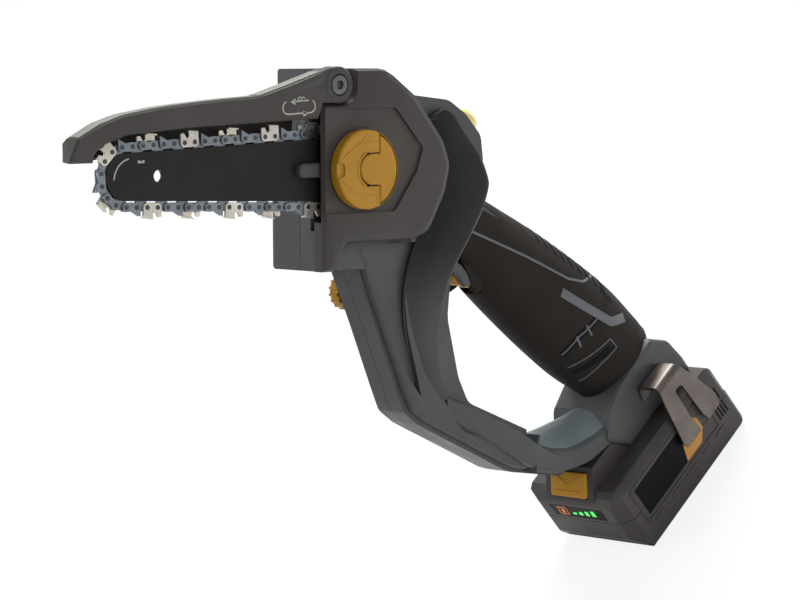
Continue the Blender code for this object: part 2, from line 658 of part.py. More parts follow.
def chain_guard():
    """The swing-up guard: a channel over the chain's top run, carried by a flat hub beside the cover."""
    pivot = (GUARD_PIVOT[0], COVER_FACE, GUARD_PIVOT[1])
    outline = rounded(GUARD_TOP + [(-25, 32.6)] + GUARD_LOW + [GUARD_TIP])
    guard = place("chain_guard", prism(outline, COVER_FACE, GUARD_FAR, 1.2), CHARCOAL, pivot)
    over_top = rounded([(-190, 13)] + GUARD_TOP[1:-1] + [(-10, 54.8), (-10, 90), (-190, 90)])
    above = prism(over_top, GUARD_RIDGE - 3, 3)
    fall = Matrix.Identity(4)
    fall[2][1] = -GUARD_FALL
    fall[2][3] = GUARD_FALL * GUARD_RIDGE * MM
    bmesh.ops.transform(above, matrix=fall, verts=above.verts)
    slant = (GUARD_TIP_FAR - GUARD_TIP[0]) / (GUARD_FAR - COVER_FACE)
    tip_near = (GUARD_TIP[0] - 2 * slant, COVER_FACE - 2)
    tip_far = (GUARD_TIP_FAR + 2 * slant, GUARD_FAR + 2)
    before_tip = prism([tip_near, tip_far, (-200, tip_far[1]), (-200, tip_near[1])], -40, 0)
    bmesh.ops.rotate(before_tip, verts=before_tip.verts, matrix=Matrix.Rotation(-math.pi / 2, 3, "X"))
    cut(guard, above, before_tip)
    arm = rounded([(-40, 45, 10), (-22, 51.2, 8), (-15, 52), (-15, 34.2), (-26, 34.2), (-30, 30), (-40, 30)])
    join(guard, prism(arm, COVER_FACE, GUARD_HUB_BACK))
    join(guard, rod(GUARD_PIVOT, GUARD_HUB_RADIUS, COVER_FACE - 0.4, GUARD_HUB_BACK + 0.2, 28, 0.8))
    for roof, far in ((GUARD_ROOF, GUARD_ROOF_STEP), (GUARD_FAR_ROOF, GUARD_FAR - GUARD_WALL)):
        inner = rounded([(roof[0][0], -9)] + roof + [(roof[-1][0], -9)])
        cut(guard, prism(inner, COVER_FACE + GUARD_WALL, far))
    skirt = rounded(GUARD_BACK_TOP + GUARD_BACK_LOW)
    join(guard, prism(skirt, GUARD_FAR - GUARD_WALL + 0.1, GUARD_FAR - 0.1))
    cut(guard, rod(GUARD_PIVOT, PIVOT_SCREW_RADIUS + GAP, -40, 0, 20))
    cut(guard, rod(GUARD_PIVOT, PIVOT_HEAD_RADIUS + 0.5, -40, COVER_FACE + 2.2, 24))
    cut(guard, rod(GUARD_PIVOT, 6.6, -18.0, 0, 24))
    return guard


def guard_hardware():
    """The guard's pivot screw and the return spring wound round it inside the hub."""
    near = COVER_FACE - 0.8
    screw = place("guard_pivot_screw", rod(GUARD_PIVOT, PIVOT_HEAD_RADIUS, near, COVER_FACE + 1.9, 24, 0.5),
                  STEEL)
    join(screw, rod(GUARD_PIVOT, PIVOT_SCREW_RADIUS, COVER_FACE, -3.4, 16))
    cut(screw, rod(GUARD_PIVOT, 2.4, near - 1, near + 2.0, 6))
    coil_count = 2
    steps_per_coil = 10
    radius, wire, rise = 5.0, 0.3, 3.2
    curve = bpy.data.curves.new("guard_spring", "CURVE")
    curve.dimensions = "3D"
    curve.bevel_depth = wire * MM
    curve.bevel_resolution = 1
    curve.use_fill_caps = True
    spline = curve.splines.new("POLY")
    count = int(coil_count * steps_per_coil) + 1
    spline.points.add(count - 1)
    for k in range(count):
        turn = 2 * math.pi * k / steps_per_coil
        x = GUARD_PIVOT[0] + radius * math.cos(turn)
        z = GUARD_PIVOT[1] + radius * math.sin(turn)
        y = -17.5 + wire + (rise - 2 * wire) * k / (count - 1)
        spline.points[k].co = (x * MM, y * MM, z * MM, 1)
    curve.materials.append(STEEL)
    spring = bpy.data.objects.new("guard_spring", curve)
    parts.objects.link(spring)
    spring.parent = frame
    print("guard spring, least gap between turns in mm:", round((rise - 2 * wire) / coil_count - 2 * wire, 2))


def toothed(centre, radius, teeth, depth, gap_at=0.0):
    """A gear's outline, two flanks to a tooth, with the middle of a gap at the angle given."""
    points = []
    for k in range(teeth):
        for share, lift in ((-0.25, -0.5), (0.25, -0.5), (0.39, 0.5), (0.61, 0.5)):
            turn = gap_at + 2 * math.pi * (k + share) / teeth
            reach = radius + depth * lift
            points.append((centre[0] + reach * math.cos(turn), centre[1] + reach * math.sin(turn)))
    return points


def drive_train():
    """The motor, its pinion, the drive gear and the shaft that turns the chain sprocket."""
    axis = (SHAFT_X, 0)
    pivot = (SHAFT_X, 0, 0)
    wheel = SPROCKET_RADIUS - TANG_DEPTH - GAP - 0.4
    sprocket = place("drive_sprocket", prism(toothed(axis, wheel - 1.2, SPROCKET_TEETH, 2.4), -14.6, -9.6),
                     STEEL, pivot)
    cut(sprocket, rod(axis, SHAFT_RADIUS + BORE_SLACK, -30, 0, 16))
    place("output_shaft", rod(axis, SHAFT_RADIUS, -16.4, 8.6, 16, 0.4), STEEL, pivot)
    gap_at = MOTOR_LEAN + math.pi / GEAR_TEETH
    outline = toothed(axis, GEAR_RADIUS - MESH_SLACK, GEAR_TEETH, GEAR_TEETH_DEPTH, gap_at)
    gear = place("drive_gear", prism(outline, GEAR_NEAR, GEAR_FAR), BRASS, pivot)
    cut(gear, rod(axis, SHAFT_RADIUS + BORE_SLACK, -30, 10, 16))
    for name, near, far in (("front_bearing", -8.7, -6.2), ("rear_bearing", 2.0, 9.0)):
        ring = place(name, rod(axis, BEARING_RADIUS, near, far, 24), STEEL)
        cut(ring, rod(axis, SHAFT_RADIUS + 0.25, near - 1, far + 1, 16))
    motor = place("motor_can", rod(MOTOR_CENTRE, MOTOR_RADIUS, MOTOR_NEAR, MOTOR_FAR, 32, 1.0), STEEL)
    cut(motor, rod(MOTOR_CENTRE, MOTOR_SHAFT_RADIUS + 0.4, 0, MOTOR_FAR - 4, 16))
    centre = (MOTOR_CENTRE[0], 0, MOTOR_CENTRE[1])
    spindle = rod(MOTOR_CENTRE, MOTOR_SHAFT_RADIUS, 0, MOTOR_FAR - 4.4, 14)
    pinion = place("motor_pinion", spindle, STEEL, centre)
    outline = toothed(MOTOR_CENTRE, PINION_RADIUS - MESH_SLACK, PINION_TEETH, GEAR_TEETH_DEPTH,
                      MOTOR_LEAN + math.pi)
    join(pinion, prism(outline, GEAR_NEAR, GEAR_FAR + PINION_OVERHANG))


def bar_clamp():
    """The stud that the knob screws on to, and the slider in front of it that sets the chain's tension."""
    stud = place("bar_stud", rod((0, 0), STUD_RADIUS, KNOB_HUB_BACK - 1.3, -6.6, 16, 0.4), STEEL)
    join(stud, rod((0, 0), 6.5, -10.3, -9.3, 6))
    outline = rounded([(-36, -3.7, 3.6), (-14.2, -3.7), (-14.2, 3.7), (-36, 3.7, 3.6)])
    near = BAR_Y - BAR_THICK / 2
    place("tension_slider", prism(outline, near - GAP - 4.0, near - GAP, 0.8), SLATE)


def controls():
    """The lock-off button, the trigger with its spring and switch, and the oil cap on the far side."""
    turn = button_turn()
    dome = upright_rod(BUTTON_RADIUS, -BUTTON_DEPTH, BUTTON_RISE, 20, 2.6)
    x, z = BUTTON_CENTRE
    place("lock_off_button", dome, GOLD, (x, 0, z), turn=turn)
    trigger = [grip_point(-6, -12), (*grip_point(-5, -26), 3), (*grip_point(1, -28.5), 3),
               (*grip_point(7, -23.5), 6), (*grip_point(14, -23), 3), grip_point(14.5, -6.5),
               grip_point(-6, -6.5)]
    pivot = grip_point(4, -15)
    place("trigger", prism(rounded(trigger), -7.4, 7.4, 1.6, 1.6), GOLD, (pivot[0], 0, pivot[1]))
    outline = [grip_point(18, -5.5), grip_point(46, -5.5), grip_point(46, 8.5), grip_point(18, 8.5)]
    place("switch_body", prism(outline, -8.4, 8.4), DARK)
    outline = [grip_point(66, -1), grip_point(111, -1), grip_point(111, 0.6), grip_point(66, 0.6)]
    place("control_board", prism(outline, -9.5, 9.5), BOARD)
    spring = [grip_point(0, -6.1), grip_point(7, -6.1), grip_point(7, 1.1), grip_point(0, 1.1)]
    place("trigger_spring", prism(spring, -3, 3), STEEL)
    cap = (OIL_CAP[0], STRUT_HALF, OIL_CAP[1])
    knurled = toothed(OIL_CAP, OIL_CAP_RADIUS - 0.5, 16, 1.0)
    oil_cap = place("oil_cap", prism(knurled, STRUT_HALF + GAP, OIL_CAP_FAR, 0, 1.0), GOLD, cap)
    join(oil_cap, rod(OIL_CAP, OIL_NECK_RADIUS, 6.6, STRUT_HALF + 2, 20))


def grip_sleeve():
    """The fat rubber sleeve over the grip: oval rings bridged along the grip's axis."""
    bm = bmesh.new()
    rings = []
    steps = len(GRIP_HALF_HEIGHTS) - 3
    between = [GRIP_LENGTH * k / steps for k in range(steps + 1)]
    places = [-SLEEVE_LEAD] + between + [GRIP_LENGTH + SLEEVE_TAIL]
    for along, tall, wide in zip(places, GRIP_HALF_HEIGHTS, GRIP_HALF_WIDTHS):
        ring = []
        for n in range(GRIP_SIDES):
            turn = 2 * math.pi * n / GRIP_SIDES
            x, z = grip_point(along, tall * math.sin(turn))
            ring.append(bm.verts.new((x * MM, wide * math.cos(turn) * MM, z * MM)))
        edges = [bm.edges.new((ring[n - 1], ring[n])) for n in range(GRIP_SIDES)]
        rings.append(edges)
    for one, two in zip(rings, rings[1:]):
        bmesh.ops.bridge_loops(bm, edges=one + two)
    bmesh.ops.holes_fill(bm, edges=[e for e in bm.edges if e.is_boundary], sides=0)
    bmesh.ops.recalc_face_normals(bm, faces=bm.faces)
    sleeve = place("grip_sleeve", bm, RUBBER)
    past = GRIP_LENGTH + 30
    core = [grip_point(-30, -9 - GAP * 2), grip_point(past, -17.8), grip_point(past, 18.8),
            grip_point(-30, 13 + GAP * 2)]
    cut(sleeve, prism(core, -GRIP_CORE_HALF - GAP, GRIP_CORE_HALF + GAP))
    cut(sleeve, prism(TRIGGER_ROOM, -8.0, 8.0))
    room = STRUT_HALF + 8
    cut(sleeve, prism(grown(COLLAR, GAP), -room, room), prism(grown(HEAD, GAP), -room, room + 10))
    cut(sleeve, prism(grown(FOOT, GAP), -40, 40))
    cut(sleeve, prism(grown(STRUT, GAP), -room, room))
    return sleeve


def across(points, along0, along1):
    """An outline of (across, height) over the battery, run along the battery's length."""
    bm = prism(points, -along1, -along0)
    c, s = math.cos(BATTERY_TILT), math.sin(BATTERY_TILT)
    corner = Vector((BATTERY_CORNER[0], 0, BATTERY_CORNER[1])) * MM
    turn = Matrix(((0, -c, -s, corner.x), (1, 0, 0, 0), (0, -s, c, corner.z), (0, 0, 0, 1)))
    bmesh.ops.transform(bm, matrix=turn, verts=bm.verts)
    return bm


def belt_hook():
    """The steel belt hook: a strip folded over at the top, with a forked outer leg, and its screw."""
    inner = -FOOT_HALF - GAP
    outer = inner - HOOK_REACH
    top, low = HOOK_TOP, HOOK_TOP - HOOK_DROP
    under, bend = top - HOOK_THICK, HOOK_BEND - HOOK_THICK
    strip = [(inner, top - HOOK_LUG), (inner, top, HOOK_BEND), (outer, top, HOOK_BEND), (outer, low),
             (outer + HOOK_THICK, low), (outer + HOOK_THICK, under, bend),
             (inner - HOOK_THICK, under, bend), (inner - HOOK_THICK, top - HOOK_LUG)]
    hook = place("belt_hook", across(rounded(strip), 46, 85), STEEL)
    leaf = [(54.4, top + 3), (71.5, top + 3), (78.3, 51.6), (83.3, 33, 6), (81.8, 26.2), (70.4, 25.7),
            (69, 31), (67.7, 55.8, 2), (62, 57, 2), (61.3, 36.7), (62.4, 25.9), (49.4, 25.6), (47.4, 29.3),
            (51.4, 55.9)]
    blank = prism(rounded(in_battery_frame(leaf)), outer - 4, inner + 4)
    combine(hook, hidden("belt_hook_outline", blank), "INTERSECT")
    near = inner - HOOK_THICK
    place("hook_screw", rod(battery_point(60, top - 6.2), 2.4, near - 2.2, near - GAP, 12, 0.5), STEEL)


def upright(points, low, high):
    """An outline of (along, across) on the battery, run up through its height."""
    bm = prism(points, -high, -low)
    c, s = math.cos(BATTERY_TILT), math.sin(BATTERY_TILT)
    corner = Vector((BATTERY_CORNER[0], 0, BATTERY_CORNER[1])) * MM
    turn = Matrix(((c, s, 0, corner.x), (0, 0, 1, 0), (s, -c, 0, corner.z), (0, 0, 0, 1)))
    bmesh.ops.transform(bm, matrix=turn, verts=bm.verts)
    return bm


def neck_outline(start, end, low, high):
    """A strip on the sloping front of the battery's neck, from its lower edge, with depths square to it."""
    slope = math.atan2(BATTERY_HEIGHT + RAIL_RISE - NECK_LOW, NECK_RUN)
    c, s = math.cos(slope), math.sin(slope)
    corners = ((start, low), (end, low), (end, high), (start, high))
    return in_battery_frame([(-BATTERY_NOSE + u * c - v * s, NECK_LOW + u * s + v * c) for u, v in corners])


def front_corners(half, run, side, low, high):
    """Cutters that take off the two upright front corners of a block of a half width."""
    front = -BATTERY_NOSE
    one = [(front - 5, half - side), (front, half - side), (front + run, half), (front + run, half + 5),
           (front - 5, half + 5)]
    return upright(one, low, high), upright([(x, -y) for x, y in one], low, high)


def battery_case():
    """The battery: a tub and a lid that meet at a split line, hollow for the cells, and the slide rails."""
    split, top, rail = BATTERY_SPLIT, BATTERY_HEIGHT, BATTERY_HEIGHT + RAIL_RISE
    front, half = -BATTERY_NOSE, BATTERY_HALF
    shell = [(front + 7, 0), (BATTERY_LENGTH, 0, 4), (BATTERY_LENGTH, split + 9), (front, split + 9),
             (front, 12)]
    tub = place("battery_tub", prism(rounded(in_battery_frame(shell)), -half, half, 3.0, 3.0), CHARCOAL)
    cut(tub, *front_corners(half, CORNER_RUN, CORNER_SIDE, -20, split + 20))
    inside = [front + NOSE_WALL, BATTERY_LENGTH - BATTERY_WALL, -half + BATTERY_WALL, half - BATTERY_WALL]
    cut(tub, battery_box(*inside, BATTERY_WALL, 80), battery_box(-60, 160, -60, 60, split, 90))
    lid_shell = [(front, split - 9), (BATTERY_LENGTH, split - 9), (BATTERY_LENGTH, top, 5), (front + 6, top),
                 (front + 2, top - 2.5), (front, NECK_LOW - 4)]
    lid = place("battery_lid", prism(rounded(in_battery_frame(lid_shell)), -half, half, 4.0, 4.0), CHARCOAL)
    cut(lid, *front_corners(half, CORNER_RUN, CORNER_SIDE, -20, top + 20))
    neck_end = BATTERY_LENGTH - 6
    neck = in_battery_frame([(front, NECK_LOW), (neck_end, NECK_LOW), (neck_end, rail),
                             (front + NECK_RUN, rail)])
    join(lid, prism(neck, -RAIL_HALF, RAIL_HALF))
    cut(lid, battery_box(*inside, -20, top - LID_TOP), battery_box(-60, 160, -60, 60, -60, split + GAP))
    room = RELEASE_HALF + 0.4
    cut(lid, prism(neck_outline(1.6, 16.4, -3.4 - RELEASE_TRAVEL, 9), -room, room))
    gauge_room = GAUGE_HALF + GAP
    cut(lid, battery_box(front - 4, front + 1.6, -gauge_room, gauge_room, split + 2, split + 10.5))
    place("gauge_window", battery_box(front + 0.2, front + 1.3, -GAUGE_HALF, GAUGE_HALF, split + 2.3,
                                      split + 10.2), WINDOW)
    spot = neck_outline(9, 9, 0, 0)[0]
    place("release_button", prism(neck_outline(2, 16, -3, 1.4), -RELEASE_HALF, RELEASE_HALF, 1.0, 1.0), GOLD,
          (spot[0], 0, spot[1]))


def cells():
    """Ten round cells in two rows across the battery, with the board that joins them on top."""
    middle = (BATTERY_LENGTH - BATTERY_WALL - BATTERY_NOSE + NOSE_WALL) / 2
    first = middle - CELL_PITCH * (CELLS_PER_ROW - 1) / 2
    for row in range(2):
        for column in range(CELLS_PER_ROW):
            height = BATTERY_WALL + GAP + CELL_RADIUS + row * CELL_PITCH
            centre = battery_point(first + CELL_PITCH * column, height)
            place(f"cell_{row * CELLS_PER_ROW + column + 1}",
                  rod(centre, CELL_RADIUS, -CELL_LENGTH / 2, CELL_LENGTH / 2, 14), CELL_WRAP)
    side = BATTERY_HALF - BATTERY_WALL - CELL_BOARD_MARGIN
    board = battery_box(6, BATTERY_LENGTH - 6, -side, side, CELL_STACK, CELL_STACK + CELL_BOARD_THICK)
    place("cell_board", board, BOARD)


def fasteners():
    """The screws that close the clamshell from the far side."""
    spots = ((-8, 40, HEAD_FAR), (4, -44, HEAD_FAR), (48, -46, HEAD_FAR), (48, 31, HEAD_FAR),
             (48, -122, STRUT_HALF), (88, -148, STRUT_HALF))
    for k, (x, z, face) in enumerate(spots):
        name = f"housing_screw_{k + 1}"
        screw = place(name, rod((x, z), 2.6, face + 0.1, face + 1.6, 12, 0.4), STEEL)
        cut(screw, rod((x, z), 1.3, face + 0.8, face + 3, 6))


housing("housing_far", 1)
housing("housing_near", -1)
sprocket_cover()
tension_knob()
knob_flap()
guide_bar()
saw_chain()
bar_clamp()
chain_guard()
guard_hardware()
drive_train()
controls()
grip_sleeve()
belt_hook()
battery_case()
cells()
fasteners()
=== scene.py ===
import json
import math

import bmesh
import bpy
from mathutils import Matrix, Vector


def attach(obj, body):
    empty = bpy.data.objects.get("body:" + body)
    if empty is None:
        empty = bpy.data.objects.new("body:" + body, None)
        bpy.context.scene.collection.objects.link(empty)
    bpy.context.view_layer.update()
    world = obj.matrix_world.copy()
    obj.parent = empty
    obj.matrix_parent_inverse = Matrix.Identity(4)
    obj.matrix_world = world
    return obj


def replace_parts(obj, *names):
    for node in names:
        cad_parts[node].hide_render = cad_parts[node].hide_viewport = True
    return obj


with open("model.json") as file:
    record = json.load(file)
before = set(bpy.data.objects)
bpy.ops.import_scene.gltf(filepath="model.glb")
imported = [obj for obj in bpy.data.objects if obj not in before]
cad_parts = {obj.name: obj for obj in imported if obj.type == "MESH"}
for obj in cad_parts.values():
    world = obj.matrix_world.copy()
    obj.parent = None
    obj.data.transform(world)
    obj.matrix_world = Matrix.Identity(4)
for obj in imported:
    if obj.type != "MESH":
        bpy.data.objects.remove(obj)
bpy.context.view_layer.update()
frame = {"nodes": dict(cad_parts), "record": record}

MM = 0.001

# The tool's own frame: X back along the bar, Y to the far side, Z up, origin on the knob's axis
BATTERY_TILT = math.radians(42)
TOOL = Matrix.Translation((-0.05585, 0, 0.29056)) @ Matrix.Rotation(BATTERY_TILT, 4, "Y")
# The battery's frame: along from its front corner, across, and up from its base
BATTERY_MIDDLE = 47.0
BATTERY = Matrix.Translation((-BATTERY_MIDDLE * MM, 0, 0))

# Photograph's camera, in the tool's frame
CAMERA_SPOT = Vector((-1185.956, -1412.287, 67.522))
CAMERA_AZIMUTH = math.radians(-41.082)
CAMERA_RISE = math.radians(4.2)
CAMERA_ROLL = math.radians(-0.355)
CAMERA_LENS = 162.0
# How far a sight line moves along X and Z for each millimetre that it comes nearer
SIGHT_BACK = -math.tan(CAMERA_AZIMUTH)
SIGHT_RISE = math.tan(CAMERA_RISE) / math.cos(CAMERA_AZIMUTH)

# Chain and bar
CHAIN_PITCH = 6.35
CHAIN_LINKS = 70
BAR_Y = -12.0
NOSE_X = -142.0
NOSE_RADIUS = 14.6
SPROCKET_X = 25.472
SPROCKET_RADIUS = 10 * CHAIN_PITCH / math.pi
CHAIN_LEAN = math.asin((SPROCKET_RADIUS - NOSE_RADIUS) / (SPROCKET_X - NOSE_X))
CHAIN_REACH = (SPROCKET_X - NOSE_X) * math.cos(CHAIN_LEAN)
LINK_HALF = CHAIN_PITCH / 2 + 2.4
STRAP_RADIUS = 2.35
DRIVE_RADIUS = 1.95
RIVET_RADIUS = 1.25
CHAIN_PHASE = 22.6
# Layers of the chain, as distances to one side of the bar's middle
DRIVE_LAYER = (-0.42, 0.42)
STRAP_LAYER = (0.46, 1.46)
TOOTH_LAYER = (-1.15, 1.4)
RIVET_LAYER = (1.3, 1.66)

# Grip sleeve, along its axis from the collar to the foot
GRIP_START = Vector((94.0, -40.0))
GRIP_END = Vector((197.0, -109.5))
GRIP_AXIS = (GRIP_END - GRIP_START).normalized()
GRIP_UP = Vector((-GRIP_AXIS.y, GRIP_AXIS.x))
GRIP_PLACES = (-18, 0, 24.85, 49.7, 74.55, 99.4, 124.26, 130.2)
GRIP_HEIGHTS = (19.8, 22.0, 25.2, 27.5, 29.0, 29.2, 26.5, 25.5)
GRIP_WIDTHS = (17.6, 18.8, 20.6, 21.5, 22.0, 22.0, 21.0, 20.5)
GRIP_RINGS = 44
GRIP_SIDES = 56
# The room for the trigger in the sleeve: places along the axis and above it, and half its width
TRIGGER_ROOM = ((-9, -40), (17, -40), (17, 1.5), (-9, 1.5))
TRIGGER_ROOM_HALF = 8

BODIES = frame["record"]["behaviour"]["bodies"]
BODY_OF = {node: body for body, nodes in BODIES.items() for node in nodes}


# Shared shader groups

def seen(red, green, blue):
    """A colour as the eye sees it, out of 255, made linear."""
    return tuple(((v / 255 + 0.055) / 1.055) ** 2.4 for v in (red, green, blue)) + (1.0,)


def group_sockets(group, inputs, outputs):
    """The named inputs and outputs of a shared group."""
    for name, kind, value in inputs:
        socket = group.interface.new_socket(name=name, in_out="INPUT", socket_type=kind)
        socket.default_value = value
    for name, kind in outputs:
        group.interface.new_socket(name=name, in_out="OUTPUT", socket_type=kind)


def noise_node(tree, scale, detail, vector):
    """A noise pattern at a scale on a vector's coordinates."""
    node = tree.nodes.new("ShaderNodeTexNoise")
    node.inputs["Scale"].default_value = scale
    node.inputs["Detail"].default_value = detail
    tree.links.new(vector, node.inputs["Vector"])
    return node


def ranged(tree, value, low, high):
    """The middle of a noise's values spread between two numbers."""
    node = tree.nodes.new("ShaderNodeMapRange")
    for socket, number in (("From Min", 0.3), ("From Max", 0.7), ("To Min", low), ("To Max", high)):
        node.inputs[socket].default_value = number
    tree.links.new(value, node.inputs["Value"])
    return node.outputs["Result"]


def reckoned(tree, operation, first, second):
    """Two values added, multiplied or the like."""
    node = tree.nodes.new("ShaderNodeMath")
    node.operation = operation
    tree.links.new(first, node.inputs[0])
    tree.links.new(second, node.inputs[1])
    return node.outputs["Value"]


def tinted(tree, colour, strength):
    """A colour multiplied by a value."""
    mix = tree.nodes.new("ShaderNodeMix")
    mix.data_type = "RGBA"
    mix.blend_type = "MULTIPLY"
    mix.inputs["Factor"].default_value = 1.0
    grey = tree.nodes.new("ShaderNodeCombineColor")
    for channel in ("Red", "Green", "Blue"):
        tree.links.new(strength, grey.inputs[channel])
    tree.links.new(colour, mix.inputs["A"])
    tree.links.new(grey.outputs["Color"], mix.inputs["B"])
    return mix.outputs["Result"]


def moulded_group():
    """Moulded plastic: a fine spark-eroded grain, a cloudy tone and gloss that smudges change."""
    group = bpy.data.node_groups.new("moulded_skin", "ShaderNodeTree")
    group_sockets(group, (("Colour", "NodeSocketColor", (0.1, 0.1, 0.1, 1)),
                          ("Roughness", "NodeSocketFloat", 0.5),
                          ("Grain", "NodeSocketFloat", 1.0)),
                  (("Colour", "NodeSocketColor"), ("Roughness", "NodeSocketFloat"),
                   ("Height", "NodeSocketFloat")))
    given = group.nodes.new("NodeGroupInput")
    out = group.nodes.new("NodeGroupOutput")
    place = group.nodes.new("ShaderNodeTexCoord").outputs["Object"]
    cloud = noise_node(group, 28, 3, place).outputs["Fac"]
    grain = noise_node(group, 2600, 2, place).outputs["Fac"]
    smudge = noise_node(group, 90, 4, place).outputs["Fac"]
    tone = ranged(group, cloud, 0.88, 1.1)
    group.links.new(tinted(group, given.outputs["Colour"], tone), out.inputs["Colour"])
    gloss = reckoned(group, "ADD", given.outputs["Roughness"], ranged(group, smudge, -0.06, 0.07))
    group.links.new(gloss, out.inputs["Roughness"])
    group.links.new(reckoned(group, "MULTIPLY", grain, given.outputs["Grain"]), out.inputs["Height"])
    return group


def ground_group():
    """Ground or brushed steel: fine streaks along X with tone and gloss that vary from streak to streak."""
    group = bpy.data.node_groups.new("ground_steel", "ShaderNodeTree")
    group_sockets(group, (("Colour", "NodeSocketColor", (0.5, 0.5, 0.5, 1)),
                          ("Roughness", "NodeSocketFloat", 0.3)),
                  (("Colour", "NodeSocketColor"), ("Roughness", "NodeSocketFloat"),
                   ("Height", "NodeSocketFloat")))
    given = group.nodes.new("NodeGroupInput")
    out = group.nodes.new("NodeGroupOutput")
    place = group.nodes.new("ShaderNodeTexCoord").outputs["Object"]
    turn = group.nodes.new("ShaderNodeMapping")
    turn.inputs["Rotation"].default_value = (0, -BATTERY_TILT, 0)
    turn.inputs["Scale"].default_value = (60, 900, 1400)
    group.links.new(place, turn.inputs["Vector"])
    streak = noise_node(group, 1, 3, turn.outputs["Vector"]).outputs["Fac"]
    stain = noise_node(group, 60, 4, place).outputs["Fac"]
    tone = ranged(group, stain, 0.72, 1.12)
    group.links.new(tinted(group, given.outputs["Colour"], tone), out.inputs["Colour"])
    gloss = reckoned(group, "ADD", given.outputs["Roughness"], ranged(group, streak, -0.08, 0.12))
    group.links.new(gloss, out.inputs["Roughness"])
    group.links.new(streak, out.inputs["Height"])
    return group


MOULDED = moulded_group()
GROUND = ground_group()


def dressed(name, group, colour, roughness, bump, metallic=0.0, grain=None, specular=None):
    """A material whose colour, gloss and bump come from one of the shared groups."""
    made = bpy.data.materials.new(name)
    made.use_nodes = True
    tree = made.node_tree
    shader = tree.nodes["Principled BSDF"]
    skin = tree.nodes.new("ShaderNodeGroup")
    skin.node_tree = group
    skin.inputs["Colour"].default_value = colour
    skin.inputs["Roughness"].default_value = roughness
    if grain is not None:
        skin.inputs["Grain"].default_value = grain
    tree.links.new(skin.outputs["Colour"], shader.inputs["Base Color"])
    tree.links.new(skin.outputs["Roughness"], shader.inputs["Roughness"])
    relief = tree.nodes.new("ShaderNodeBump")
    relief.inputs["Strength"].default_value = bump
    relief.inputs["Distance"].default_value = 0.0002
    tree.links.new(skin.outputs["Height"], relief.inputs["Height"])
    tree.links.new(relief.outputs["Normal"], shader.inputs["Normal"])
    shader.inputs["Metallic"].default_value = metallic
    if specular is not None:
        shader.inputs["Specular IOR Level"].default_value = specular
    return made


def fading(name, high_colour, low_colour, high, low, roughness, specular):
    """Moulded plastic whose colour changes along the tool's height, between two levels in millimetres."""
    made = dressed(name, MOULDED, high_colour, roughness, 0.18, grain=1.0, specular=specular)
    tree = made.node_tree
    place = tree.nodes.new("ShaderNodeTexCoord").outputs["Object"]
    turn = tree.nodes.new("ShaderNodeMapping")
    turn.vector_type = "TEXTURE"
    turn.inputs["Location"].default_value = TOOL.to_translation()
    turn.inputs["Rotation"].default_value = (0, BATTERY_TILT, 0)
    tree.links.new(place, turn.inputs["Vector"])
    parts = tree.nodes.new("ShaderNodeSeparateXYZ")
    tree.links.new(turn.outputs["Vector"], parts.inputs["Vector"])
    share = tree.nodes.new("ShaderNodeMapRange")
    share.interpolation_type = "SMOOTHSTEP"
    share.inputs["From Min"].default_value = low * MM
    share.inputs["From Max"].default_value = high * MM
    tree.links.new(parts.outputs["Z"], share.inputs["Value"])
    mix = tree.nodes.new("ShaderNodeMix")
    mix.data_type = "RGBA"
    mix.inputs["A"].default_value = low_colour
    mix.inputs["B"].default_value = high_colour
    tree.links.new(share.outputs["Result"], mix.inputs["Factor"])
    skin = next(node for node in tree.nodes if node.type == "GROUP")
    tree.links.new(mix.outputs["Result"], skin.inputs["Colour"])
    return made


def glowing(name, colour, strength):
    """A lit segment behind the gauge window."""
    made = dressed(name, MOULDED, colour, 0.3, 0.0, grain=0.2)
    shader = made.node_tree.nodes["Principled BSDF"]
    shader.inputs["Emission Color"].default_value = colour
    shader.inputs["Emission Strength"].default_value = strength
    return made


CHARCOAL = dressed("charcoal_plastic_skin", MOULDED, seen(70, 66, 63), 0.5, 0.2, grain=1.0, specular=0.3)
SLATE = dressed("slate_plastic_skin", MOULDED, seen(76, 78, 79), 0.46, 0.18, grain=1.0, specular=0.35)
COLLAR = fading("collar_plastic_skin", seen(38, 36, 35), seen(74, 75, 76), -38, -88, 0.44, 0.15)
GOLD = dressed("gold_plastic_skin", MOULDED, seen(184, 134, 34), 0.38, 0.1, grain=0.6, specular=0.3)
# Paler gold for the lock-off button, raised further as painted light from the top
PALE_GOLD_AND_LIGHT = dressed("pale_gold_and_painted_light_skin", MOULDED, seen(250, 228, 150), 0.3, 0.08, grain=0.6, specular=0.5)
RUBBER = dressed("grip_rubber_skin", MOULDED, seen(44, 40, 37), 0.6, 0.3, grain=1.6, specular=0.06)
INLAY = dressed("grip_inlay_skin", MOULDED, seen(96, 99, 103), 0.5, 0.2, grain=1.0, specular=0.3)
# Near black for the dark plastic parts, and painted shade in the housing's seam, the grip's slots and the
# battery's vents
DARK_AND_SHADE = dressed("dark_and_painted_shade_skin", MOULDED, seen(22, 21, 21), 0.7, 0.2, grain=1.0, specular=0.1)
BAR_BLACK = dressed("coated_bar_skin", MOULDED, seen(34, 32, 32), 0.45, 0.12, grain=0.8, specular=0.2)
CHAIN_STEEL = dressed("chain_steel_skin", GROUND, seen(128, 134, 140), 0.32, 0.12, metallic=0.85)
CUTTER_STEEL = dressed("cutter_steel_skin", GROUND, seen(214, 208, 194), 0.28, 0.1, metallic=0.7)
RIVET_STEEL = dressed("rivet_steel_skin", GROUND, seen(78, 80, 84), 0.34, 0.1, metallic=0.8)
HOOK_STEEL = dressed("hook_steel_skin", GROUND, seen(112, 104, 99), 0.34, 0.08, metallic=0.9)
SCREW_STEEL = dressed("screw_steel_skin", GROUND, seen(104, 104, 106), 0.36, 0.1, metallic=0.8)
TOE_LIGHT = dressed("toe_plate_skin", MOULDED, seen(116, 125, 127), 0.45, 0.15, grain=1.0, specular=0.3)
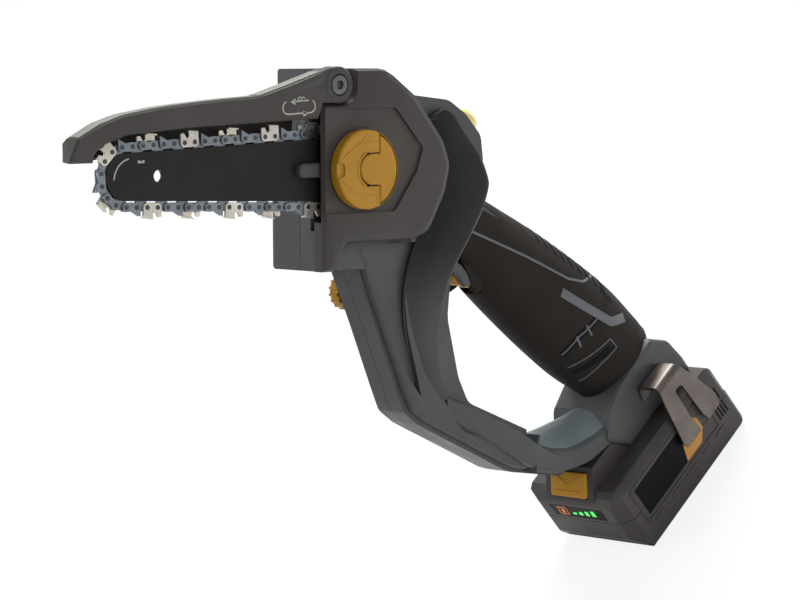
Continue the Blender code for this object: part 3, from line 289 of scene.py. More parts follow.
# The guard's top, painted paler as painted light from above
GUARD_TOP_PAINTED_LIGHT = dressed("guard_top_painted_light_skin", MOULDED, seen(126, 128, 116), 0.45, 0.2, grain=1.0, specular=0.4)
INK = dressed("printed_mark_skin", MOULDED, seen(176, 174, 168), 0.55, 0.05, grain=0.4)
LABEL_BLACK = dressed("label_black_skin", MOULDED, seen(8, 8, 8), 0.4, 0.03, grain=0.3, specular=0.1)
LABEL_GOLD = dressed("label_gold_skin", MOULDED, seen(188, 128, 38), 0.4, 0.04, grain=0.3)
GREEN_LIGHT = glowing("charge_green_skin", seen(70, 220, 95), 0.7)
AMBER_LIGHT = glowing("charge_amber_skin", seen(190, 110, 40), 0.25)
BRASS = dressed("gear_brass_skin", GROUND, seen(186, 152, 84), 0.34, 0.1, metallic=0.9)
WRAP = dressed("cell_wrap_skin", MOULDED, seen(60, 110, 150), 0.4, 0.05, grain=0.4)
BOARD = dressed("board_green_skin", MOULDED, seen(30, 86, 52), 0.5, 0.05, grain=0.6)

SLOT_OF = {"charcoal_plastic": CHARCOAL, "slate_plastic": SLATE, "gold_plastic": GOLD, "grip_rubber": RUBBER,
           "blackened_steel": BAR_BLACK, "bright_steel": SCREW_STEEL, "gear_brass": BRASS,
           "dark_plastic": DARK_AND_SHADE, "circuit_board": BOARD, "cell_wrap": WRAP, "gauge_window": LABEL_BLACK}


# Making and placing pieces

# How near a CAD node's corners are joined, and the angles that tell a flat facet and a real edge
MERGE_REACH = 0.01
FLAT_ANGLE = math.radians(0.5)
EDGE_ANGLE = math.radians(28)


def placed(name, bm, place):
    """A mesh from a shape drawn in millimetres, set in the part's frame."""
    bmesh.ops.scale(bm, vec=(MM, MM, MM), verts=bm.verts)
    bmesh.ops.transform(bm, matrix=place, verts=bm.verts)
    bmesh.ops.recalc_face_normals(bm, faces=bm.faces)
    mesh = bpy.data.meshes.new(name)
    bm.to_mesh(mesh)
    bm.free()
    return mesh


def linked(name, data):
    """An object in the scene for a mesh, a lamp or a camera."""
    made = bpy.data.objects.new(name, data)
    bpy.context.scene.collection.objects.link(made)
    return made


def finished(name, bm, material, body, place=TOOL, smooth=30):
    """A piece from a shape drawn in millimetres, riding on a body, with edges past an angle kept sharp."""
    mesh = placed(name, bm, place)
    mesh.shade_smooth()
    mesh.set_sharp_from_angle(angle=math.radians(smooth))
    mesh.materials.append(material)
    piece = linked(name, mesh)
    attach(piece, body)
    return piece


def extruded(bm, faces, depth):
    """Runs faces along Y by a depth."""
    grown = bmesh.ops.extrude_face_region(bm, geom=faces)["geom"]
    back = [v for v in grown if isinstance(v, bmesh.types.BMVert)]
    bmesh.ops.translate(bm, verts=back, vec=(0, depth, 0))


def slab(bm, outline, near, far, soften=0.0, segments=2):
    """An XZ outline run along Y into a mesh, with its near edge softened."""
    face = bm.faces.new([bm.verts.new((p[0], near, p[1])) for p in outline])
    extruded(bm, [face], far - near)
    if soften:
        bmesh.ops.bevel(bm, geom=face.edges[:], offset=soften, segments=segments, profile=0.5, affect="EDGES",
                        material=-1)


def oblong(x0, z0, x1, z1):
    """A rectangle's outline."""
    return [(x0, z0), (x1, z0), (x1, z1), (x0, z1)]


def arc(centre, radius, start, end, steps):
    """Points along an arc in the XZ plane, angles in degrees."""
    turns = [math.radians(start + (end - start) * k / steps) for k in range(steps + 1)]
    return [Vector((centre[0] + radius * math.cos(t), centre[1] + radius * math.sin(t))) for t in turns]


def ribbon(path, width):
    """The outline of a line of a width along a path of points."""
    left, right = [], []
    for k, spot in enumerate(path):
        before, after = path[max(k - 1, 0)], path[min(k + 1, len(path) - 1)]
        heading = (Vector(after) - Vector(before)).normalized()
        side = Vector((-heading.y, heading.x)) * width / 2
        left.append(Vector(spot) + side)
        right.append(Vector(spot) - side)
    return left + right[::-1]


def cutter(bm):
    """A shape in the tool's frame that cuts a piece and is then removed."""
    return linked("cutter", placed("cutter", bm, TOOL))


def carve(piece, cutters):
    """Takes cutters out of a piece and applies the result to its mesh."""
    for tool in cutters:
        step = piece.modifiers.new("carve", "BOOLEAN")
        step.object = tool
        step.operation = "DIFFERENCE"
        step.solver = "EXACT"
    shown = piece.evaluated_get(bpy.context.evaluated_depsgraph_get())
    mesh = bpy.data.meshes.new_from_object(shown)
    piece.modifiers.clear()
    old = piece.data
    piece.data = mesh
    bpy.data.meshes.remove(old)
    for tool in cutters:
        bpy.data.objects.remove(tool)


def merged_copy(node):
    """A CAD node's loose triangles, joined, so that they can be carved and give the same result each time."""
    bm = bmesh.new()
    bm.from_mesh(frame["nodes"][node].data)
    bmesh.ops.remove_doubles(bm, verts=bm.verts, dist=MERGE_REACH * MM)
    return bm


def reskin(node, material, soften, carving=(), segments=2):
    """A CAD node with its facets merged, its panels carved and its edges rounded, in place of the node."""
    bm = merged_copy(node)
    bmesh.ops.dissolve_limit(bm, angle_limit=FLAT_ANGLE, verts=bm.verts, edges=bm.edges)
    mesh = bpy.data.meshes.new(node + "_skin")
    bm.to_mesh(mesh)
    bm.free()
    mesh.materials.append(material)
    piece = linked(node + "_skin", mesh)
    if carving:
        carve(piece, carving)
    piece.data.shade_smooth()
    piece.data.set_sharp_from_angle(angle=EDGE_ANGLE)
    edge = piece.modifiers.new("soft_edges", "BEVEL")
    edge.width = soften * MM
    edge.segments = segments
    edge.limit_method = "ANGLE"
    edge.angle_limit = EDGE_ANGLE
    edge.use_clamp_overlap = True
    edge.harden_normals = True
    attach(piece, BODY_OF[node])
    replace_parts(piece, node)
    return piece


# Housing, cover and guard

# Outlines carved into the housing's near half, as X and Z, and how deep each one goes
STRUT_RECESS = [(6, -39), (46, -39), (38, -56), (36, -70), (38, -86), (43, -104), (47, -120), (37, -108),
                (28, -88), (17, -63)]
COLLAR_SEAT = [(34, -69), (63, -69), (66, -56), (75, -42), (82, -30), (84, -6), (76, 9), (62, 25.5), (40, 22),
               (34, 0)]
FRONT_SLOT = oblong(-40.0, -31.0, -14.0, -17.5)
CARVINGS = ((STRUT_RECESS, (-40.0, -11.4)), (FRONT_SLOT, (-12.0, -8.5)), (COLLAR_SEAT, (-40.0, -14.55)))
# The painted-shade sheet in the housing's seam: its thickness, and how near the split a face has to lie
SEAM_SHEET = 0.28
SEAM_REACH = 0.05


def housing_skins():
    """The housing's carved halves, the sprocket cover and the guard."""
    panels = []
    for outline, depths in CARVINGS:
        bm = bmesh.new()
        slab(bm, outline, *depths)
        panels.append(cutter(bm))
    reskin("housing_near", SLATE, 0.8, panels + [toe_cutter()], 3)
    reskin("housing_far", SLATE, 0.8, [toe_cutter()], 3)
    reskin("sprocket_cover", CHARCOAL, 0.7, segments=3)
    reskin("chain_guard", CHARCOAL, 0.5, segments=3)


def seam_shade_sheet():
    """A thin sheet of painted shade between the housing's halves, so that their seam reads as a dark line and
    not as a gap.
    """
    bm = merged_copy("housing_near")
    seam = max(vert.co.y for vert in bm.verts)
    away = [f for f in bm.faces if f.normal.y < 0.99 or f.calc_center_median().y < seam - SEAM_REACH * MM]
    bmesh.ops.delete(bm, geom=away, context="FACES")
    extruded(bm, bm.faces[:], SEAM_SHEET * MM)
    bmesh.ops.scale(bm, vec=(1 / MM, 1 / MM, 1 / MM), verts=bm.verts)
    piece = finished("seam_shade_sheet", bm, DARK_AND_SHADE, "tool", Matrix.Identity(4))
    carve(piece, [toe_cutter()])


# Left edge, right edge and face of the collar's band, from the head's top down into the strut
COLLAR_ROWS = (((48, 24), (60.5, 29.3), -18.5), ((52, 21), (67, 27), -18.8), ((54, 13), (76.5, 16), -18.9),
               ((56, 4), (86, 5), -18.9), ((58, -6), (91.4, -6), -18.9), ((58, -14), (92.2, -12), -18.9),
               ((54, -24), (88, -23), -18.9), ((46, -34), (80, -35.5), -18.9), ((40, -46), (71, -48), -18.9),
               ((36.5, -58), (64.8, -58), -18.7), ((35.5, -70), (61, -69), -18.0),
               ((37, -84), (58.4, -82), -17.0), ((41, -98), (57.2, -95), -16.0),
               ((47, -112), (60, -109), -15.2), ((58, -125), (66, -122), -14.6))
# Across the band, from its hollow left edge to its right one: share of the width and depth below the face
COLLAR_SECTION = ((0, 5.0), (0, 4.2), (0.08, 3.5), (0.2, 2.1), (0.35, 0.8), (0.5, 0.15), (0.9, 0.0),
                  (0.97, 0.3), (1, 1.2), (1, 5.0))
# The pale line on the band's right edge: its outer corners past the edge and below the face, the place of its
# inner corner, and the row that it starts at
COLLAR_LINE = ((0.15, 0.9), (0.15, 1.7), (-1.0, 1.7))
COLLAR_LINE_INNER = (0.02, 0.6)
COLLAR_LINE_START = 24


def eased(a, b, c, d, t):
    """A value at a share of the way from b to c, on a smooth curve that a and d lead into and out of."""
    return b + 0.5 * t * (c - a + t * (2 * a - 5 * b + 4 * c - d + t * (3 * (b - c) + d - a)))


def smooth_rows(rows, steps):
    """Rows of numbers with curved in-between rows, so that a band's edges run smoothly."""
    fine = []
    for k in range(len(rows) - 1):
        around = [rows[max(0, min(len(rows) - 1, k + n))] for n in (-1, 0, 1, 2)]
        for n in range(steps):
            fine.append([eased(*values, n / steps) for values in zip(*around)])
    return fine + [list(rows[-1])]


def lofted(bm, sections):
    """A closed skin over sections that have the same number of points."""
    loops = []
    for section in sections:
        ring = [bm.verts.new(p) for p in section]
        loops.append([bm.edges.new((ring[n - 1], ring[n])) for n in range(len(ring))])
    for one, two in zip(loops, loops[1:]):
        bmesh.ops.bridge_loops(bm, edges=one + two)
    bmesh.ops.holes_fill(bm, edges=[e for e in bm.edges if e.is_boundary], sides=0)


def collar_band():
    """The dark band that sweeps from the head's back down the strut, and the pale line on its outer edge."""
    rows = smooth_rows([(*left, *right, face) for left, right, face in COLLAR_ROWS], 4)
    inner_share, inner_sink = COLLAR_LINE_INNER
    sections, edge = [], []
    for x0, z0, x1, z1, face in rows:
        left, right = Vector((x0, z0)), Vector((x1, z1))
        section = []
        for share, sink in COLLAR_SECTION:
            spot = left.lerp(right, share)
            section.append((spot.x, face + sink, spot.y))
        sections.append(section)
        inner = right.lerp(left, inner_share)
        corners = [(right.x + past, face + sink, right.y) for past, sink in COLLAR_LINE]
        edge.append(corners + [(inner.x, face + inner_sink, inner.y)])
    bm = bmesh.new()
    lofted(bm, sections)
    finished("collar_band", bm, COLLAR, "tool", smooth=50)
    line = bmesh.new()
    lofted(line, edge[COLLAR_LINE_START:])
    finished("collar_edge", line, INLAY, "tool")


# Printed marks: the faces they lie on, their thickness and the width of their lines
GUARD_FACE_Y = -23.62
BAR_FACE_Y = BAR_Y - 1.5
MARK_THICK = 0.3
MARK_LINE = 0.7
GUARD_ARROWS = ([(-46.8, 34.9), (-43.6, 33.4), (-43.6, 36.5)], [(-35.4, 28.9), (-38.6, 27.5), (-38.6, 30.4)])
BAR_TOOTH = [(-134.5, 6.6), (-130.5, 6.6), (-130.5, 8.0), (-131.6, 8.0), (-132.5, 7.2), (-133.4, 8.0),
             (-134.5, 8.0)]


def printed(bm, outline, face):
    """A printed mark as a thin plate on a face."""
    slab(bm, outline, face, face + MARK_THICK)


def guard_marks():
    """The chain's direction mark on the guard and the arrow on the bar's nose."""
    bm = bmesh.new()
    loop = arc((-34, 32.6), 3.2, 60, -90, 8) + arc((-48.5, 32), 3.2, 270, 110, 8)
    printed(bm, ribbon(loop, MARK_LINE), GUARD_FACE_Y)
    printed(bm, ribbon([(-44.6, 35.0), (-35, 35.6)], MARK_LINE), GUARD_FACE_Y)
    for arrow in GUARD_ARROWS:
        printed(bm, arrow, GUARD_FACE_Y)
    for spot in (-41.0, -38.6):
        printed(bm, ribbon(arc((spot, 36.4), 0.9, 0, 300, 10), 0.5), GUARD_FACE_Y)
    finished("guard_direction_mark", bm, INK, "guard")
    bm = bmesh.new()
    printed(bm, ribbon(arc((-138, -2), 11, 176, 100, 10), MARK_LINE), BAR_FACE_Y)
    printed(bm, BAR_TOOTH, BAR_FACE_Y)
    finished("bar_direction_mark", bm, INK, "tool")


# The guard's top, painted paler as painted light from above: its line over the bar and up the arm, half its
# width, its middle and its rise
CROWN_EDGE = [(-176, 20.1), (-170.5, 22.9), (-164, 25.9), (-151, 30.1), (-139, 32.1), (-127, 33.8),
              (-110, 35.35), (-93, 36.7), (-80, 37.45), (-68, 38.1)]
CROWN_ARM = [(-66, 38.4), (-60, 40.0), (-48, 43.45), (-38, 46.4), (-27, 49.7)]
CROWN_HALF = 4.0
CROWN_Y = -18.3
CROWN_LIFT = 0.12
CROWN_RISE = 0.2
CROWN_SINK = 0.6
CROWN_STEPS = 8
WEDGE = [(-65, 37.9), (-42, 44.5), (-26, 49.4), (-24.6, 46), (-27.8, 43.3), (-44.6, 38.8)]
WEDGE_Y = (-24.1, -23.0)


def crown_strip(bm, path):
    """A thin crowned plate laid along a path of X and Z points on the guard's top."""
    sections = []
    for k, spot in enumerate(path):
        heading = (Vector(path[min(k + 1, len(path) - 1)]) - Vector(path[max(k - 1, 0)])).normalized()
        up = Vector((-heading.y, heading.x))
        over, under = [], []
        for n in range(CROWN_STEPS + 1):
            share = 2 * n / CROWN_STEPS - 1
            across = CROWN_Y + CROWN_HALF * share
            top = Vector(spot) + up * (CROWN_LIFT + CROWN_RISE * (1 - share * share))
            low = Vector(spot) - up * CROWN_SINK
            over.append((top.x, across, top.y))
            under.append((low.x, across, low.y))
        sections.append(over + under[::-1])
    lofted(bm, sections)


def guard_top_painted_light():
    """The guard's top as a paler plate, painted light from above."""
    bm = bmesh.new()
    crown_strip(bm, smooth_rows(CROWN_EDGE, 4))
    crown_strip(bm, CROWN_ARM)
    finished("guard_top_painted_light", bm, GUARD_TOP_PAINTED_LIGHT, "guard", smooth=50)


def guard_wedge():
    """The raised wedge on the guard's arm."""
    bm = bmesh.new()
    slab(bm, WEDGE, *WEDGE_Y, 0.35)
    finished("guard_wedge", bm, CHARCOAL, "guard")


# The toe's arched top: X, Z on the split line, Z at its edge and half the width there
TOE_ROWS = ((116, -143.4, -146.6, 14.0), (126, -146.6, -151.2, 17.2), (136.5, -147.2, -155.6, 19.2),
            (150, -144.2, -157.0, 19.9), (161, -141.2, -154.4, 19.9), (171, -138.2, -150.4, 19.9),
            (176, -136.4, -147.4, 19.7))
# The rim round the toe's plates, the plates' thickness, and how they are seated in the carved housing
TOE_RIM = 2.4
TOE_PLATE = 1.8
TOE_SPLIT = 0.15
TOE_SEAT = 0.7
TOE_CLEAR = 6
TOE_CUT_SHARES = (-1.15, -0.8, -0.4, 0, 0.4, 0.8, 1.15)
TOE_PLATE_STEPS = 8
# The flank that widens from the arm to the toe: X, half width, Z at its top and at its low edge
FLANK_ROWS = ((66, 13.6, -121.0, -134.0), (78, 14.5, -125.4, -140.0), (90, 15.4, -130.4, -145.6),
              (102, 16.8, -136.0, -151.8), (112, 18.4, -141.4, -157.0), (122, 19.9, -147.8, -162.6),
              (132, 20.3, -153.6, -166.2), (140, 20.2, -156.4, -167.2), (147, 20.05, -157.6, -167.0))
FLANK_ROOT = 8


def toe_height(row, share):
    """The toe's height at a share of its half width."""
    return row[1] - (row[1] - row[2]) * share * share


def toe_cutter():
    """What is above the toe's arch, to be carved off the housing."""
    bm = bmesh.new()
    sections = []
    for row in smooth_rows(TOE_ROWS[1:], 3):
        x, half, above = row[0], row[3], row[1] + TOE_CLEAR
        low = [(x, half * share, toe_height(row, share) - TOE_SEAT) for share in TOE_CUT_SHARES]
        sections.append(low + [(x, low[-1][1], above), (x, low[0][1], above)])
    lofted(bm, sections)
    return cutter(bm)


def toe_dish():
    """The arched plates on top of the toe, split at the mid-plane, with a darker rim round them."""
    for name, side in (("toe_plate_near", -1), ("toe_plate_far", 1)):
        plate, rim = bmesh.new(), bmesh.new()
        plates, rims = [], []
        for row in smooth_rows(TOE_ROWS, 4):
            x, half = row[0], row[3]
            inner = 1 - TOE_RIM / half
            shares = [inner * k / TOE_PLATE_STEPS for k in range(TOE_PLATE_STEPS + 1)]
            top = [(x, side * (TOE_SPLIT + half * share), toe_height(row, share)) for share in shares]
            plates.append(top + [(px, py, pz - TOE_PLATE) for px, py, pz in top[::-1]])
            edge = [(inner + 0.012, 0.0), (inner + 0.03, 0.5), (0.98, 0.5), (1.0, 0.1), (1.005, -2.0),
                    (inner, -2.0)]
            rims.append([(x, side * half * share, toe_height(row, share) + lift) for share, lift in edge])
        lofted(plate, plates)
        finished(name, plate, TOE_LIGHT, "tool", smooth=40)
        lofted(rim, rims)
        finished(name.replace("plate", "rim"), rim, SLATE, "tool", smooth=40)


def arm_flanks():
    """The flanks by which the arm widens into the toe."""
    bm = bmesh.new()
    for side in (-1, 1):
        sections = []
        for x, half, top, low in smooth_rows(FLANK_ROWS, 4):
            sections.append([(x, side * FLANK_ROOT, top), (x, side * (half - 1.2), top),
                             (x, side * half, top - 1.2), (x, side * half, low + 2),
                             (x, side * (half - 2), low), (x, side * FLANK_ROOT, low)])
        lofted(bm, sections)
    finished("arm_flanks", bm, SLATE, "tool", smooth=40)


# Knob: its face, the rise and width of the lines on it, and the lines above its middle, repeated below
KNOB_FACE_Y = (-28.75, -28.15)
KNOB_LINE = 0.8
KNOB_LINE_EDGE = 0.2
KNOB_LINES = (((-17.4, 5.4), (-11.5, 9.6), (-4.5, 13.6), (-1.0, 17.6)), ((-4.5, 13.6), (5.6, 13.6)))
KNOB_TEETH = 4
KNOB_TOOTH_STEP = 1.4


def knob_relief():
    """The knob's raised tongue lines, its hexagon lines and the small index teeth beside the flap."""
    bm = bmesh.new()
    slab(bm, ribbon(arc((3, 0), 9.6, 118, 242, 14), 1.1), *KNOB_FACE_Y, KNOB_LINE_EDGE)
    for side in (-1, 1):
        for line in KNOB_LINES:
            slab(bm, ribbon([(x, z * side) for x, z in line], KNOB_LINE), *KNOB_FACE_Y, KNOB_LINE_EDGE)
    for k in range(KNOB_TEETH):
        top = -13.0 - k * KNOB_TOOTH_STEP
        slab(bm, oblong(5.2, top, 7.4, top - KNOB_TOOTH_STEP / 2), *KNOB_FACE_Y)
    finished("knob_relief", bm, GOLD, "knob")


# Chain

def chain_point(distance):
    """A place on the rivet line, from the top of the sprocket round by the nose."""
    nose = (math.pi - 2 * CHAIN_LEAN) * NOSE_RADIUS
    distance = (distance + CHAIN_PHASE) % (CHAIN_LINKS * CHAIN_PITCH)
    normal = Vector((-math.sin(CHAIN_LEAN), math.cos(CHAIN_LEAN)))
    if distance < CHAIN_REACH:
        start = Vector((SPROCKET_X, 0)) + normal * SPROCKET_RADIUS
        return start - Vector((math.cos(CHAIN_LEAN), math.sin(CHAIN_LEAN))) * distance
    distance -= CHAIN_REACH
    if distance < nose:
        turn = math.pi / 2 + CHAIN_LEAN + distance / NOSE_RADIUS
        return Vector((NOSE_X + NOSE_RADIUS * math.cos(turn), NOSE_RADIUS * math.sin(turn)))
    distance -= nose
    if distance < CHAIN_REACH:
        start = Vector((NOSE_X, 0)) + Vector((normal.x, -normal.y)) * NOSE_RADIUS
        return start + Vector((math.cos(CHAIN_LEAN), -math.sin(CHAIN_LEAN))) * distance
    turn = -math.pi / 2 - CHAIN_LEAN + (distance - CHAIN_REACH) / SPROCKET_RADIUS
    return Vector((SPROCKET_X + SPROCKET_RADIUS * math.cos(turn), SPROCKET_RADIUS * math.sin(turn)))


def link_frame(index):
    """A link's middle, its heading and the way out of the loop."""
    first, second = chain_point(index * CHAIN_PITCH), chain_point((index + 1) * CHAIN_PITCH)
    along = (second - first).normalized()
    return (first + second) / 2, along, Vector((along.y, -along.x))


def laid(index, profile):
    """A link's profile, set in its place in the loop."""
    middle, along, out = link_frame(index)
    return [middle + along * s + out * n for s, n in profile]


def strap_profile():
    """A tie strap: two round ends with a waist between the rivets."""
    half = CHAIN_PITCH / 2
    ends = arc((half, 0), STRAP_RADIUS, -100, 100, 8) + [Vector((0.9, 1.7)), Vector((-0.9, 1.7))]
    return ends + arc((-half, 0), STRAP_RADIUS, 80, 280, 8) + [Vector((-0.9, -1.9)), Vector((0.9, -1.9))]


def cutter_profile():
    """A cutter: the strap with a raised tooth at its back and a depth gauge in front."""
    half = CHAIN_PITCH / 2
    low = arc((-half, 0), STRAP_RADIUS, 200, 270, 4) + arc((half, 0), STRAP_RADIUS, 270, 340, 4)
    gauge = [Vector((LINK_HALF, 1.0)), Vector((LINK_HALF, 4.6)), Vector((LINK_HALF - 2.2, 4.8))]
    gullet = [Vector((LINK_HALF - 3.4, 2.9)), Vector((1.6, 2.2)), Vector((0.4, 3.0))]
    tooth = [Vector((0.5, 5.8)), Vector((-LINK_HALF, 5.2)), Vector((-LINK_HALF, 1.0))]
    return low + gauge + gullet + tooth


def bumper_profile():
    """A tie strap whose front edge rises as a bumper."""
    half = CHAIN_PITCH / 2
    low = arc((-half, 0), STRAP_RADIUS, 100, 270, 6) + arc((half, 0), STRAP_RADIUS, 270, 350, 4)
    return low + [Vector((LINK_HALF + 0.1, 4.4)), Vector((LINK_HALF - 1.6, 3.6)), Vector((1.2, 2.0))]


def drive_profile():
    """A drive link, with the tang that runs in the bar's groove."""
    half = CHAIN_PITCH / 2
    ends = arc((half, 0), DRIVE_RADIUS, -40, 95, 6) + arc((-half, 0), DRIVE_RADIUS, 85, 220, 6)
    return ends + [Vector((-1.7, -4.4)), Vector((-0.9, -6.0)), Vector((0.9, -6.0)), Vector((1.7, -4.4))]


def beside_bar(side, layer):
    """A layer's near and far Y on one side of the bar."""
    return sorted(BAR_Y + side * away for away in layer)


def saw_chain():
    """The loop of chain, link by link: drive links, straps and cutters on each side, and peened rivets."""
    links, cutters, rivets = bmesh.new(), bmesh.new(), bmesh.new()
    plate = [(0.5, 5.2), (0.5, 5.9), (-LINK_HALF, 5.3), (-LINK_HALF, 4.6)]
    for index in range(0, CHAIN_LINKS, 2):
        slab(links, laid(index + 1, drive_profile()), *beside_bar(1, DRIVE_LAYER))
        spot = (index // 2) % 4
        for side in (-1, 1):
            strap = beside_bar(side, STRAP_LAYER)
            if spot == (0 if side < 0 else 2):
                slab(cutters, laid(index, cutter_profile()), *strap, 0.15, 1)
                slab(cutters, laid(index, plate), *beside_bar(side, TOOTH_LAYER))
            else:
                profile = bumper_profile() if spot % 2 else strap_profile()
                slab(links, laid(index, profile), *strap, 0.15, 1)
            for end in (index, index + 1):
                head = arc(chain_point(end * CHAIN_PITCH), RIVET_RADIUS, 0, 324, 9)
                slab(rivets, head, *beside_bar(side, RIVET_LAYER))
    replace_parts(finished("saw_chain_links", links, CHAIN_STEEL, "tool"), "saw_chain")
    finished("saw_chain_cutters", cutters, CUTTER_STEEL, "tool")
    finished("saw_chain_rivets", rivets, RIVET_STEEL, "tool")


# Grip sleeve and what is moulded into it

def along_grip(values, along):
    """A size of the sleeve at a place along the grip, by a smooth curve through the rings."""
    last = len(GRIP_PLACES) - 1
    k = next((n for n in range(last) if along <= GRIP_PLACES[n + 1]), last - 1)
    share = (along - GRIP_PLACES[k]) / (GRIP_PLACES[k + 1] - GRIP_PLACES[k])
    return eased(values[max(k - 1, 0)], values[k], values[k + 1], values[min(k + 2, last)], share)


def on_grip(along, up, lift, side=-1):
    """A point on the sleeve's side at a place along it and a height above its axis."""
    tall, wide = along_grip(GRIP_HEIGHTS, along), along_grip(GRIP_WIDTHS, along)
    share = max(-0.999, min(0.999, up / tall))
    across = side * (wide * math.sqrt(1 - share * share) + lift)
    spot = GRIP_START + GRIP_AXIS * along + GRIP_UP * up
    return Vector((spot.x, across, spot.y))


def grip_sleeve():
    """The fat rubber sleeve as closely spaced oval rings, bridged."""
    bm = bmesh.new()
    sections = []
    for k in range(GRIP_RINGS + 1):
        along = GRIP_PLACES[0] + (GRIP_PLACES[-1] - GRIP_PLACES[0]) * k / GRIP_RINGS
        tall, wide = along_grip(GRIP_HEIGHTS, along), along_grip(GRIP_WIDTHS, along)
        ring = []
        for n in range(GRIP_SIDES):
            turn = 2 * math.pi * n / GRIP_SIDES
            spot = GRIP_START + GRIP_AXIS * along + GRIP_UP * (tall * math.sin(turn))
            ring.append((spot.x, wide * math.cos(turn), spot.y))
        sections.append(ring)
    lofted(bm, sections)
    piece = finished("grip_sleeve_skin", bm, RUBBER, "tool", smooth=50)
    room = bmesh.new()
    corners = [GRIP_START + GRIP_AXIS * along + GRIP_UP * up for along, up in TRIGGER_ROOM]
    slab(room, corners, -TRIGGER_ROOM_HALF, TRIGGER_ROOM_HALF)
    carve(piece, [cutter(room)])
    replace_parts(piece, "grip_sleeve")


def wrapped(bm, path, width, lift, side):
    """A strip of a width along a path of places along and above the axis, wrapped on the sleeve."""
    fine = []
    for a, b in zip(path, path[1:]):
        fine += [Vector(a) + (Vector(b) - Vector(a)) * k / 5 for k in range(5)]
    fine.append(Vector(path[-1]))
    edge = ribbon(fine, width)
    rows = []
    for left, right in zip(edge, edge[:len(fine) - 1:-1]):
        corners = ((left, lift), (right, lift), (right, -STRIP_SINK), (left, -STRIP_SINK))
        rows.append([on_grip(p.x, p.y, height, side) for p, height in corners])
    lofted(bm, rows)


def grip_place(x, z):
    """The place on the sleeve's near side that the camera sees at a point of the split plane."""
    depth = GRIP_WIDTHS[3]
    for _ in range(6):
        spot = Vector((x - SIGHT_BACK * depth, z + SIGHT_RISE * depth)) - GRIP_START
        place = (spot.dot(GRIP_AXIS), spot.dot(GRIP_UP))
        depth = abs(on_grip(*place, 0).y)
    return place


# Lines on the grip, as the X and Z points of the split plane that the camera sees behind them
INLAY_LINE = ((84, -31), (96, -37), (135, -52), (165, -65), (176, -67), (183, -63))
CHEVRON_LINE = ((160, -72), (176, -80), (197, -90), (207, -88))
CROSSED_SLOT = ((160, -106), (172, -97), (187, -87))
U_SLOT = ((167, -116), (184, -110), (196, -103))
U_SLOT_FRAME = ((164, -113), (182, -107), (196, -99), (201, -104), (190, -112), (172, -121))
SMALL_SLOT = ((189, -72), (198, -79))
# How far a strip on the sleeve goes into it, half of a bar across the slot, and the ribs on the back
STRIP_SINK = 1.0
CROSS_HALF = Vector((3.4, -1.2))
BACK_RIBS = 9
BACK_RIB_START = 30
BACK_RIB_STEP = 7.0


def grip_line(points, shift=0.0):
    """The places on the sleeve for a line of points, moved back by a shift."""
    return [grip_place(x + shift, z) for x, z in points]


def grip_details():
    """Inlay lines, the chevron strip, the crossed slots, the U slots and the ribs on the back; the slots are
    dark strips of painted shade.
    """
    lines, slot_shade, ribs = bmesh.new(), bmesh.new(), bmesh.new()
    slot = grip_line(CROSSED_SLOT)
    for side in (-1, 1):
        wrapped(lines, grip_line(INLAY_LINE), 1.3, 0.35, side)
        wrapped(lines, grip_line(CHEVRON_LINE), 5.0, 0.3, side)
        wrapped(slot_shade, slot, 4.4, 0.12, side)
        wrapped(lines, slot, 0.9, 0.35, side)
        for share in (0.36, 0.66):
            middle = Vector(slot[0]).lerp(Vector(slot[2]), share)
            wrapped(lines, [middle - CROSS_HALF, middle + CROSS_HALF], 1.1, 0.45, side)
        for shift in (0.0, 4.2):
            wrapped(slot_shade, grip_line(U_SLOT, shift), 1.8, 0.12, side)
        wrapped(lines, grip_line(U_SLOT_FRAME), 0.7, 0.3, side)
        wrapped(slot_shade, grip_line(SMALL_SLOT), 3.0, 0.15, side)
        for k in range(BACK_RIBS):
            along = BACK_RIB_START + BACK_RIB_STEP * k
            tall = along_grip(GRIP_HEIGHTS, along)
            rib = [(along + 3, tall * 0.72), (along, tall * 0.9), (along - 1, tall * 0.985)]
            wrapped(ribs, rib, 2.2, 0.5, side)
    finished("grip_inlays", lines, INLAY, "tool")
    # The slots' strips are painted shade.
    finished("grip_slots_painted_shade", slot_shade, DARK_AND_SHADE, "tool")
    finished("grip_back_ribs", ribs, RUBBER, "tool")


# The walls beside the trigger's upper end: their outlines, and how far from the middle they start and stop
TRIGGER_RIM = [(73, -50), (78, -53), (82, -57.5), (84.5, -63.4), (83.4, -64.4), (80.2, -64.4), (77.6, -60.5),
               (75.1, -57.4), (72, -55.5)]
TRIGGER_SHROUD = [(77.8, -50), (91.4, -58), (93.4, -66), (88.3, -68.6), (84.8, -63.6), (82.2, -57.3)]
TRIGGER_WALL = (8.7, 12.0)


def trigger_walls():
    """The slate rim and the sleeve's rubber on each side of the trigger's upper end."""
    inner, outer = TRIGGER_WALL
    for name, outline, material in (("trigger_rim", TRIGGER_RIM, SLATE),
                                    ("trigger_shroud", TRIGGER_SHROUD, RUBBER)):
        bm = bmesh.new()
        slab(bm, outline, -outer, -inner, 0.5)
        slab(bm, outline, outer, inner, 0.5)
        finished(name, bm, material, "tool")


